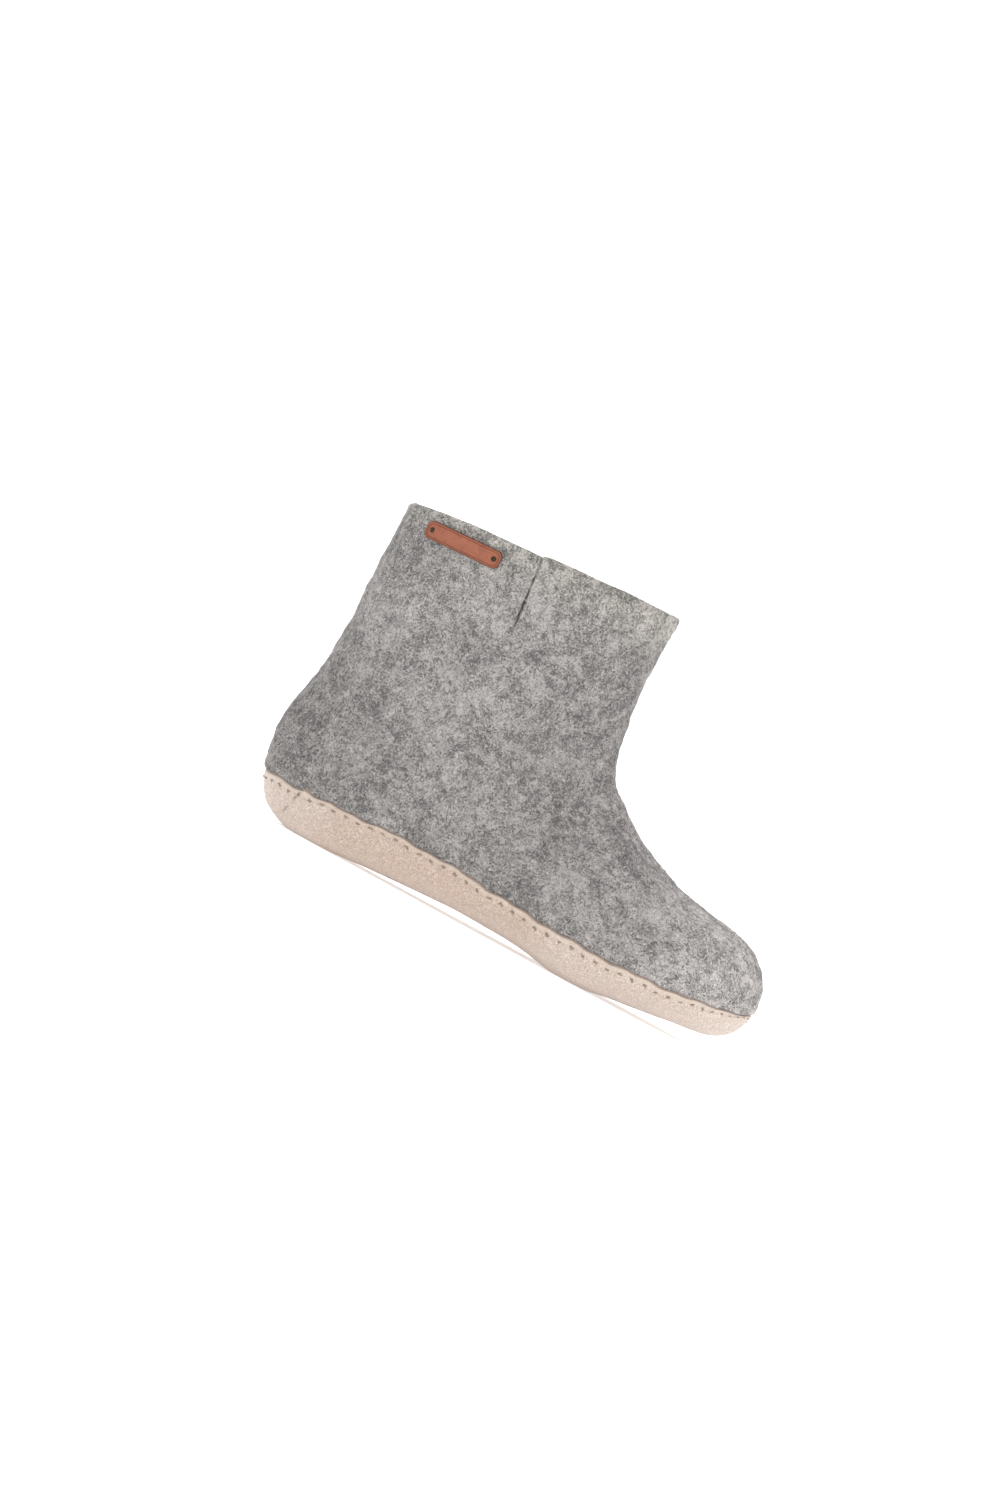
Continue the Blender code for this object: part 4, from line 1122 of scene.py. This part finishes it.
def felt_material(name, light, dark):
    """Felted wool: marbled by the wool's tone, with small curls, light hairs, and dark curly lines sunk into the bump
    that are painted shade between the hairs.
    """
    made, graph, shader, place = new_material(name, 0.95, sheen=0.1)
    tone = graph.node("ShaderNodeAttribute")
    tone.attribute_name = "marble"
    curls = graph.group("Soft patches", Vector=place, Scale=480.0, Sharpness=0.08, Twist=1.8).outputs[0]
    specks = graph.group("Soft patches", Vector=place, Scale=1000.0, Sharpness=0.09, Twist=1.4).outputs[0]
    share = graph.math("MULTIPLY_ADD", tone.outputs["Fac"], 0.85, -0.54)
    share = graph.math("MULTIPLY_ADD", curls, 0.70, share)
    share = graph.math("MULTIPLY_ADD", specks, 0.60, share)
    ground = graph.mix(share, solid(dark), solid(light))
    hairs = graph.group("Hair lines", Vector=place, Scale=420.0, Width=0.022, Twist=2.2).outputs[0]
    thin = graph.group("Hair lines", Vector=place, Scale=900.0, Width=0.040, Twist=1.6).outputs[0]
    shadow = graph.group("Hair lines", Vector=place, Scale=610.0, Width=0.030, Twist=2.0).outputs[0]
    pale = between(light, (1.0, 0.98, 0.94), 0.45)
    # painted shade: dark curly lines, darker than the dark wool, in the grooves between the hairs
    ground = graph.mix(graph.math("MULTIPLY", shadow, 0.55), ground, solid(between(dark, (0, 0, 0), 0.45)))
    ground = graph.mix(graph.math("MULTIPLY", thin, 0.35), ground, solid(pale))
    ground = graph.mix(graph.math("MULTIPLY", hairs, 0.50), ground, solid(pale))
    # painted light at the toe and painted shade at the heel are laid over the wool here
    graph.put(shader.inputs["Base Color"], graph.group("Painted light and wool tint", Vector=place, Color=ground).outputs[0])
    height = graph.math("ADD", graph.math("MULTIPLY", hairs, 0.8), graph.math("MULTIPLY", thin, 0.5))
    height = graph.math("SUBTRACT", height, graph.math("MULTIPLY", shadow, 0.6))
    height = graph.math("ADD", height, graph.math("ADD", specks, graph.math("MULTIPLY", curls, 1.5)))
    bumped(graph, shader, height, 0.0004, 1.0)
    return made


def fibre_material(light, dark):
    """Loose fibres, each with its own tone between the dark and the light wool."""
    made, graph, shader, place = new_material("wool_fibres", 0.9, sheen=0.1)
    tone = graph.node("ShaderNodeAttribute")
    tone.attribute_name = "tone"
    pale = between(light, (1.0, 0.98, 0.95), 0.35)
    faint = graph.math("MULTIPLY_ADD", graph.noise(place, 400.0), 0.2, -0.1)
    share = graph.math("ADD", tone.outputs["Fac"], faint)
    ground = graph.mix(share, solid(dark), solid(pale))
    # painted light at the toe and painted shade at the heel are laid over the fibres here
    graph.put(shader.inputs["Base Color"], graph.group("Painted light and wool tint", Vector=place, Color=ground).outputs[0])
    return made


def suede_material(sole):
    """Suede: short nap in patches, a paler stitched band, and painted shade in the needle holes along it, under the
    felt's edge, under the arch and along the heel seam.
    """
    made, graph, shader, place = new_material("napped_suede", 0.92, sheen=0.35)
    nap = graph.noise(place, 1500.0, 3.0, 0.4)
    brushed = graph.group("Soft patches", Vector=place, Scale=120.0, Sharpness=0.2, Twist=0.8).outputs[0]
    tinted = graph.group("Soft patches", Vector=place, Scale=60.0, Sharpness=0.15, Twist=0.5).outputs[0]
    small = graph.group("Soft patches", Vector=place, Scale=620.0, Sharpness=0.12, Twist=1.2).outputs[0]
    ground = graph.mix(tinted, solid(sole.suede), solid(between(sole.suede, sole.suede_band, 0.8)))
    ground = graph.mix(graph.math("MULTIPLY", brushed, 0.5), ground, solid(between(sole.suede, (0, 0, 0), 0.12)))
    ground = graph.mix(graph.math("MULTIPLY", small, 0.55), ground, solid(between(sole.suede, (1, 1, 1), 0.42)))
    ground = graph.mix(graph.remap(nap, 0.62, 0.36, 0.0, 0.85), ground, solid(between(sole.suede, (0, 0, 0), 0.36)))
    spot = graph.node("ShaderNodeSeparateXYZ", Vector=place)
    # painted shade: the suede made darker under the arch, where the sole lifts off the floor
    from_arch = graph.math("ABSOLUTE", graph.math("ADD", spot.outputs["X"], 0.033))
    wear_and_shade = solid((0.93, 0.89, 0.85))
    ground = graph.mix(graph.remap(from_arch, 0.066, 0.046), ground, wear_and_shade, "MULTIPLY")
    uv = graph.node("ShaderNodeUVMap")
    uv.uv_map = "along_edge"
    spot = graph.node("ShaderNodeSeparateXYZ", Vector=uv.outputs["UV"])
    below = graph.math("MULTIPLY", spot.outputs["Y"], 0.01)
    band = graph.remap(below, 0.0046, 0.0030, 0.0, 0.6)
    ground = graph.mix(band, ground, solid(sole.suede_band))
    stitch = graph.math("ADD", graph.math("FLOOR", spot.outputs["X"]), 0.5)
    chance = graph.node("ShaderNodeTexWhiteNoise")
    chance.noise_dimensions = "1D"
    graph.put(chance.inputs["W"], stitch)
    to_hole = graph.math("MULTIPLY", graph.math("SUBTRACT", spot.outputs["X"], stitch), sole.stitch_pitch)
    wobble = graph.math("MULTIPLY_ADD", graph.noise(place, 620.0), 0.0022, -0.0011)
    lean = graph.math("MULTIPLY", to_hole, graph.math("MULTIPLY_ADD", chance.outputs["Value"], 0.9, -0.1))
    across = graph.math("ADD", graph.math("SUBTRACT", below, sole.stitch_below_edge), wobble)
    across = graph.math("SUBTRACT", across, lean)
    run = graph.math("MULTIPLY", to_hole, 0.42)
    reach = graph.math("ADD", graph.math("POWER", run, 2.0), graph.math("POWER", across, 2.0))
    size = graph.math("MULTIPLY_ADD", chance.outputs["Value"], 0.00032, 0.00052)
    hole = graph.remap(graph.math("SQRT", reach), size, 0.00018)
    # painted shade: dark pits round the stitches, where the thread goes into the suede
    pit_shade = graph.math("MULTIPLY", hole, graph.remap(chance.outputs["Value"], 0.0, 0.6, 0.30, 0.60))
    ground = graph.mix(pit_shade, ground, solid(sole.shade_colour))
    # painted shade: a dark line along the suede's top edge, under the felt that bulges over it
    ground = graph.mix(graph.remap(below, 0.0019, 0.0010, 0.0, 0.72), ground, solid(sole.shade_colour))
    # painted shade: a dark line along the groove of the heel seam, darkest in a pit near its top and at its lower end
    spot = graph.node("ShaderNodeSeparateXYZ", Vector=place)
    lean = graph.math("MULTIPLY_ADD", spot.outputs["Z"], -0.264, 0.1082 + 0.0187 * 0.264)
    away = graph.math("ABSOLUTE", graph.math("ADD", graph.math("ADD", spot.outputs["X"], lean), graph.math("MULTIPLY", wobble, 0.35)))
    outer = graph.math("LESS_THAN", spot.outputs["Y"], 0.0)
    outer = graph.math("MULTIPLY", outer, graph.remap(spot.outputs["Z"], 0.002, 0.007))
    pit = graph.remap(graph.math("ABSOLUTE", graph.math("SUBTRACT", spot.outputs["Z"], 0.0160)), 0.0034, 0.0012, 0.15, 1.0)
    end = graph.remap(graph.math("ABSOLUTE", graph.math("SUBTRACT", spot.outputs["Z"], 0.0085)), 0.0030, 0.0010, 0.0, 0.85)
    seam = graph.math("MULTIPLY", graph.remap(away, 0.0008, 0.0002, 0.0, 0.75), outer)
    seam = graph.math("MULTIPLY", seam, graph.math("MAXIMUM", pit, end))
    ground = graph.mix(seam, ground, solid(between(sole.suede, sole.shade_colour, 0.8)))
    graph.put(shader.inputs["Base Color"], ground)
    height = graph.math("ADD", graph.math("MULTIPLY", nap, 1.2), graph.math("MULTIPLY", small, 0.8))
    height = graph.math("SUBTRACT", height, graph.math("MULTIPLY", hole, 3.0))
    bumped(graph, shader, height, 0.00026, 0.9)
    return made


def thread_material(sole):
    """Waxed thread: twisted strands, darker where it goes into the suede, painted shade at the needle holes."""
    made, graph, shader, place = new_material("waxed_thread", 0.75)
    sunk = graph.node("ShaderNodeAttribute")
    sunk.attribute_name = "sunk"
    strands = graph.noise(place, 2600.0, 1.0)
    colour = graph.mix(strands, solid(between(sole.thread_colour, (0, 0, 0), 0.3)), solid(sole.thread_colour))
    # painted shade: the thread darker where it sinks into its hole
    deep = graph.math("MULTIPLY", sunk.outputs["Fac"], 0.8)
    graph.put(shader.inputs["Base Color"], graph.mix(deep, colour, solid(sole.shade_colour)))
    bumped(graph, shader, strands, 0.00012, 0.8)
    return made


def leather_material(tag):
    """Vegetable-tanned leather: pebbled grain, mottled dye and a burnished dark edge."""
    made, graph, shader, place = new_material("tanned_leather", 0.52)
    edge = graph.node("ShaderNodeAttribute")
    edge.attribute_name = "from_edge"
    grain = graph.group("Leather grain", Vector=place, Scale=3600.0)
    mottle = graph.group("Soft patches", Vector=place, Scale=260.0, Sharpness=0.25, Twist=0.5).outputs[0]
    dark = between(tag.leather, tag.edge, 0.35)
    face = graph.mix(mottle, solid(dark), solid(tag.leather))
    face = graph.mix(graph.math("MULTIPLY", grain.outputs["Crease"], 0.25), face, solid(between(dark, tag.edge, 0.5)))
    pressed = graph.math("ABSOLUTE", graph.math("SUBTRACT", edge.outputs["Fac"], 0.0012))
    face = graph.mix(graph.remap(pressed, 0.0003, 0.0001, 0.0, 0.5), face, solid(tag.edge))
    rim = graph.remap(edge.outputs["Fac"], 0.0007, 0.0002, 0.0, 0.9)
    graph.put(shader.inputs["Base Color"], graph.mix(rim, face, solid(tag.edge)))
    graph.put(shader.inputs["Roughness"], graph.remap(mottle, 0.0, 1.0, 0.45, 0.62))
    bumped(graph, shader, grain.outputs["Height"], 0.00012, 0.6)
    return made


def metal_material(tag):
    """Blackened bronze, worn in spots."""
    made, graph, shader, place = new_material("blackened_bronze", 0.42, metallic=0.85)
    wear_and_shade = graph.group("Soft patches", Vector=place, Scale=900.0, Sharpness=0.18, Twist=0.3).outputs[0]
    bright = between(tag.metal, (0.5, 0.36, 0.25), 0.12)
    graph.put(shader.inputs["Base Color"], graph.mix(wear_and_shade, solid(tag.metal), solid(bright)))
    graph.put(shader.inputs["Roughness"], graph.remap(wear_and_shade, 0.0, 1.0, 0.55, 0.35))
    bumped(graph, shader, graph.noise(place, 1800.0), 0.00008, 0.5)
    return made


def stage_material(colour_value):
    made, graph, shader, place = new_material("stage", 0.9)
    faint = graph.noise(place, 3.0)
    low = solid(between(colour_value, (0, 0, 0), 0.01))
    graph.put(shader.inputs["Base Color"], graph.mix(faint, low, solid(colour_value)))
    graph.put(shader.inputs["Emission Color"], solid(colour_value))
    shader.inputs["Emission Strength"].default_value = 0.48
    return made


SHAPES = {}


def shapes(context):
    """The last, the sole and the felt of a scene's settings, worked out again when one changes."""
    groups = [getattr(context.scene, name) for name in ("boot_last", "boot_felt", "boot_sole")]
    key = tuple(tuple(np.ravel(getattr(group, name))) for group in groups for name in group.__annotations__)
    if key not in SHAPES:
        last = Last(groups[0])
        tray = SoleShape(last, groups[2])
        SHAPES.clear()
        SHAPES[key] = last, tray, FeltShape(last, groups[1], groups[2], tray)
    return SHAPES[key]


class BOOT_OT_looks(bpy.types.Operator):
    """Make the node groups and materials of the boot"""

    bl_idname = "wool_boot.looks"
    bl_label = "Materials"

    def execute(self, context):
        scene = context.scene
        felt, sole, tag = scene.boot_felt, scene.boot_sole, scene.boot_tag
        make_hair_lines()
        make_patches()
        make_painted_light_and_tint()
        make_grain()
        felt_material("wool_felt", felt.light, felt.dark)
        felt_material("footbed_felt", between(felt.light, (0, 0, 0), 0.12), between(felt.dark, (0, 0, 0), 0.12))
        fibre_material(felt.light, felt.dark)
        suede_material(sole)
        thread_material(sole)
        leather_material(tag)
        metal_material(tag)
        stage_material(scene.boot_stage.floor)
        return {"FINISHED"}


class BOOT_OT_felt(bpy.types.Operator):
    """Build the felt wall of the boot, with its collar and slit"""

    bl_idname = "wool_boot.felt"
    bl_label = "Felt wall"

    def execute(self, context):
        _, _, shape = shapes(context)
        points, faces = shape.wall()
        material = bpy.data.materials["wool_felt"]
        wall = add_piece("felt_wall", points, faces, material, [("marble", marble(points))], weld=True)
        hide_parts("upper")
        return {"FINISHED"}


class BOOT_OT_fibres(bpy.types.Operator):
    """Scatter loose wool fibres over the felt: the foot, the shaft and the collar's edge"""

    bl_idname = "wool_boot.fibres"
    bl_label = "Loose fibres"

    def execute(self, context):
        last, _, shape = shapes(context)
        felt = context.scene.boot_felt
        split = 0.078
        parts = (
            ("fibres_foot", lambda p: (p[..., 2] < split) * 1.0, 61, 1.0),
            ("fibres_shaft", lambda p: (p[..., 2] >= split) * 1.0, 62, 1.0),
        )
        for name, where, seed, amount in parts:
            blocks, lists, tones, used = [], [], [], 0
            for front, part in ((True, 0.76), (False, 0.24)):
                grid = shape.surface(front, True)
                t, angle = shape.patch(front)
                normals = last.normals(t, angle)

                def wanted(corner, where=where):
                    above = corner[..., 2] - last.suede_edge(corner[..., 0])
                    return where(corner) * (above > 0.0008)

                count = int(felt.fibre_count * amount * part)
                points, faces, tone = fibre_mesh(grid, normals, felt, seed + front, count, wanted)
                blocks.append(points)
                lists += [f + used for f in faces]
                tones.append(tone)
                used += len(points)
            piece = add_piece(
                name,
                np.concatenate(blocks),
                lists,
                bpy.data.materials["wool_fibres"],
                [("tone", np.concatenate(tones))],
            )
        return {"FINISHED"}


class BOOT_OT_sole(bpy.types.Operator):
    """Build the suede tray of the sole"""

    bl_idname = "wool_boot.sole"
    bl_label = "Suede sole"

    def execute(self, context):
        points, faces, uv = suede_mesh(shapes(context)[1])
        piece = add_piece("suede_sole", points, faces, bpy.data.materials["napped_suede"], uv=uv, weld=True)
        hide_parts("outsole")
        return {"FINISHED"}


class BOOT_OT_stitches(bpy.types.Operator):
    """Lay the stitches that hold the suede to the felt"""

    bl_idname = "wool_boot.stitches"
    bl_label = "Stitches"

    def execute(self, context):
        points, faces, dark = stitch_mesh(shapes(context)[1])
        piece = add_piece("sole_stitches", points, faces, bpy.data.materials["waxed_thread"], [("sunk", dark)])
        return {"FINISHED"}


class BOOT_OT_insole(bpy.types.Operator):
    """Build the felt footbed"""

    bl_idname = "wool_boot.insole"
    bl_label = "Insole"

    def execute(self, context):
        points, faces = insole_mesh(shapes(context)[1], context.scene.boot_felt)
        material = bpy.data.materials["footbed_felt"]
        piece = add_piece("felt_insole", points, faces, material, [("marble", marble(points))], weld=True)
        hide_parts("insole")
        return {"FINISHED"}


class BOOT_OT_tag(bpy.types.Operator):
    """Build the leather tag and finish its two rivets"""

    bl_idname = "wool_boot.tag"
    bl_label = "Tag and rivets"

    def execute(self, context):
        points, faces, edge = tag_mesh(shapes(context)[0], context.scene.boot_tag)
        piece = add_piece(
            "leather_tag", points, faces, bpy.data.materials["tanned_leather"], [("from_edge", edge)], weld=True
        )
        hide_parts("tag")
        for node in ("rivet_rear", "rivet_front"):
            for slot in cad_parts[node].material_slots:
                slot.material = bpy.data.materials["blackened_bronze"]
        return {"FINISHED"}


class BOOT_OT_stage(bpy.types.Operator):
    """Make the floor that rises into a backdrop, the soft lights and the camera"""

    bl_idname = "wool_boot.stage"
    bl_label = "Stage, lights and camera"

    def execute(self, context):
        scene, s = context.scene, context.scene.boot_stage
        depth = np.concatenate([np.linspace(-9, 3, 25), 3 + 2 * np.sin(np.linspace(0, np.pi / 2, 17)[1:]), [5]])
        height = np.concatenate([np.zeros(25), 2 - 2 * np.cos(np.linspace(0, np.pi / 2, 17)[1:]), [9]])
        width = np.linspace(-9, 9, 13)
        grid = np.stack(np.broadcast_arrays(width[:, None], depth, height), axis=-1)
        floor = add_piece(
            "floor", grid.reshape(-1, 3), [grid_faces(len(width), len(depth))], bpy.data.materials["stage"]
        )
        world = bpy.data.worlds.new("studio")
        world.use_nodes = True
        background = world.node_tree.nodes["Background"]
        background.inputs["Color"].default_value = (1.0, 1.0, 1.0, 1.0)
        background.inputs["Strength"].default_value = 0.60
        scene.world = world
        lights = (
            ("wash", (0.0, 1.6, 3.2), (0.0, 5.0, 0.6), 3.5, 130),
            ("front", (0.0, -4.6, 3.4), (0.0, -4.2, 0.0), 3.5, 60),
            ("key", (1.9, -1.9, 2.2), (0.0, 0.0, 0.08), 2.2, 35),
            ("fill", (-1.9, -1.8, 1.0), (0.0, 0.0, 0.08), 2.2, 10),
            ("rim", (0.3, 1.8, 2.2), (0.0, 0.0, 0.08), 2.0, 20),
        )
        for name, place, aim, size, power in lights:
            data = bpy.data.lights.new(name, "AREA")
            data.size, data.energy = size, power
            light = bpy.data.objects.new(name, data)
            light.location = place
            light.rotation_euler = (Vector(aim) - Vector(place)).to_track_quat("-Z", "Y").to_euler()
            scene.collection.objects.link(light)
        data = bpy.data.cameras.new("camera")
        data.sensor_fit = "AUTO"
        data.sensor_width = 36
        data.lens = 36 * s.distance / s.view_height
        data.clip_end = 60
        camera = bpy.data.objects.new("camera", data)
        ahead = Vector((0, np.cos(s.elevation), -np.sin(s.elevation)))
        up = Vector((0, np.sin(s.elevation), np.cos(s.elevation)))
        right = ahead.cross(up)
        turned_right = right * np.cos(s.roll) + up * np.sin(s.roll)
        turned_up = up * np.cos(s.roll) - right * np.sin(s.roll)
        place = Vector((s.aim_x, 0, s.aim_z)) - ahead * s.distance
        axes = Matrix((turned_right, turned_up, -ahead)).transposed().to_4x4()
        camera.matrix_world = Matrix.Translation(place) @ axes
        scene.collection.objects.link(camera)
        scene.camera = camera
        scene.view_settings.view_transform = "Standard"
        return {"FINISHED"}


class BOOT_PT_panel(bpy.types.Panel):
    """Lists the boot's operators and settings in the sidebar"""

    bl_label = "Wool Boot"
    bl_idname = "BOOT_PT_panel"
    bl_space_type = "VIEW_3D"
    bl_region_type = "UI"
    bl_category = "Wool Boot"

    def draw(self, context):
        for operator in OPERATORS:
            self.layout.operator(operator.bl_idname)
        for name, group in GROUPS:
            box = self.layout.box()
            box.label(text=group.bl_rna.name)
            for key in group.__annotations__:
                box.prop(getattr(context.scene, name), key)


GROUPS = (
    ("boot_last", LastSizes),
    ("boot_felt", FeltSettings),
    ("boot_sole", SoleSettings),
    ("boot_tag", TagSettings),
    ("boot_stage", StageSettings),
)
OPERATORS = (
    BOOT_OT_looks,
    BOOT_OT_felt,
    BOOT_OT_fibres,
    BOOT_OT_sole,
    BOOT_OT_stitches,
    BOOT_OT_insole,
    BOOT_OT_tag,
    BOOT_OT_stage,
)


def register():
    for name, group in GROUPS:
        bpy.utils.register_class(group)
        setattr(bpy.types.Scene, name, bpy.props.PointerProperty(type=group))
    for made in (*OPERATORS, BOOT_PT_panel):
        bpy.utils.register_class(made)


def unregister():
    for made in reversed((*OPERATORS, BOOT_PT_panel)):
        bpy.utils.unregister_class(made)
    for name, group in reversed(GROUPS):
        delattr(bpy.types.Scene, name)
        bpy.utils.unregister_class(group)


def main():
    register()
    for operator in OPERATORS:
        category, name = operator.bl_idname.split(".")
        getattr(getattr(bpy.ops, category), name)()
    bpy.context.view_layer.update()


if __name__ == "__main__":
    main()
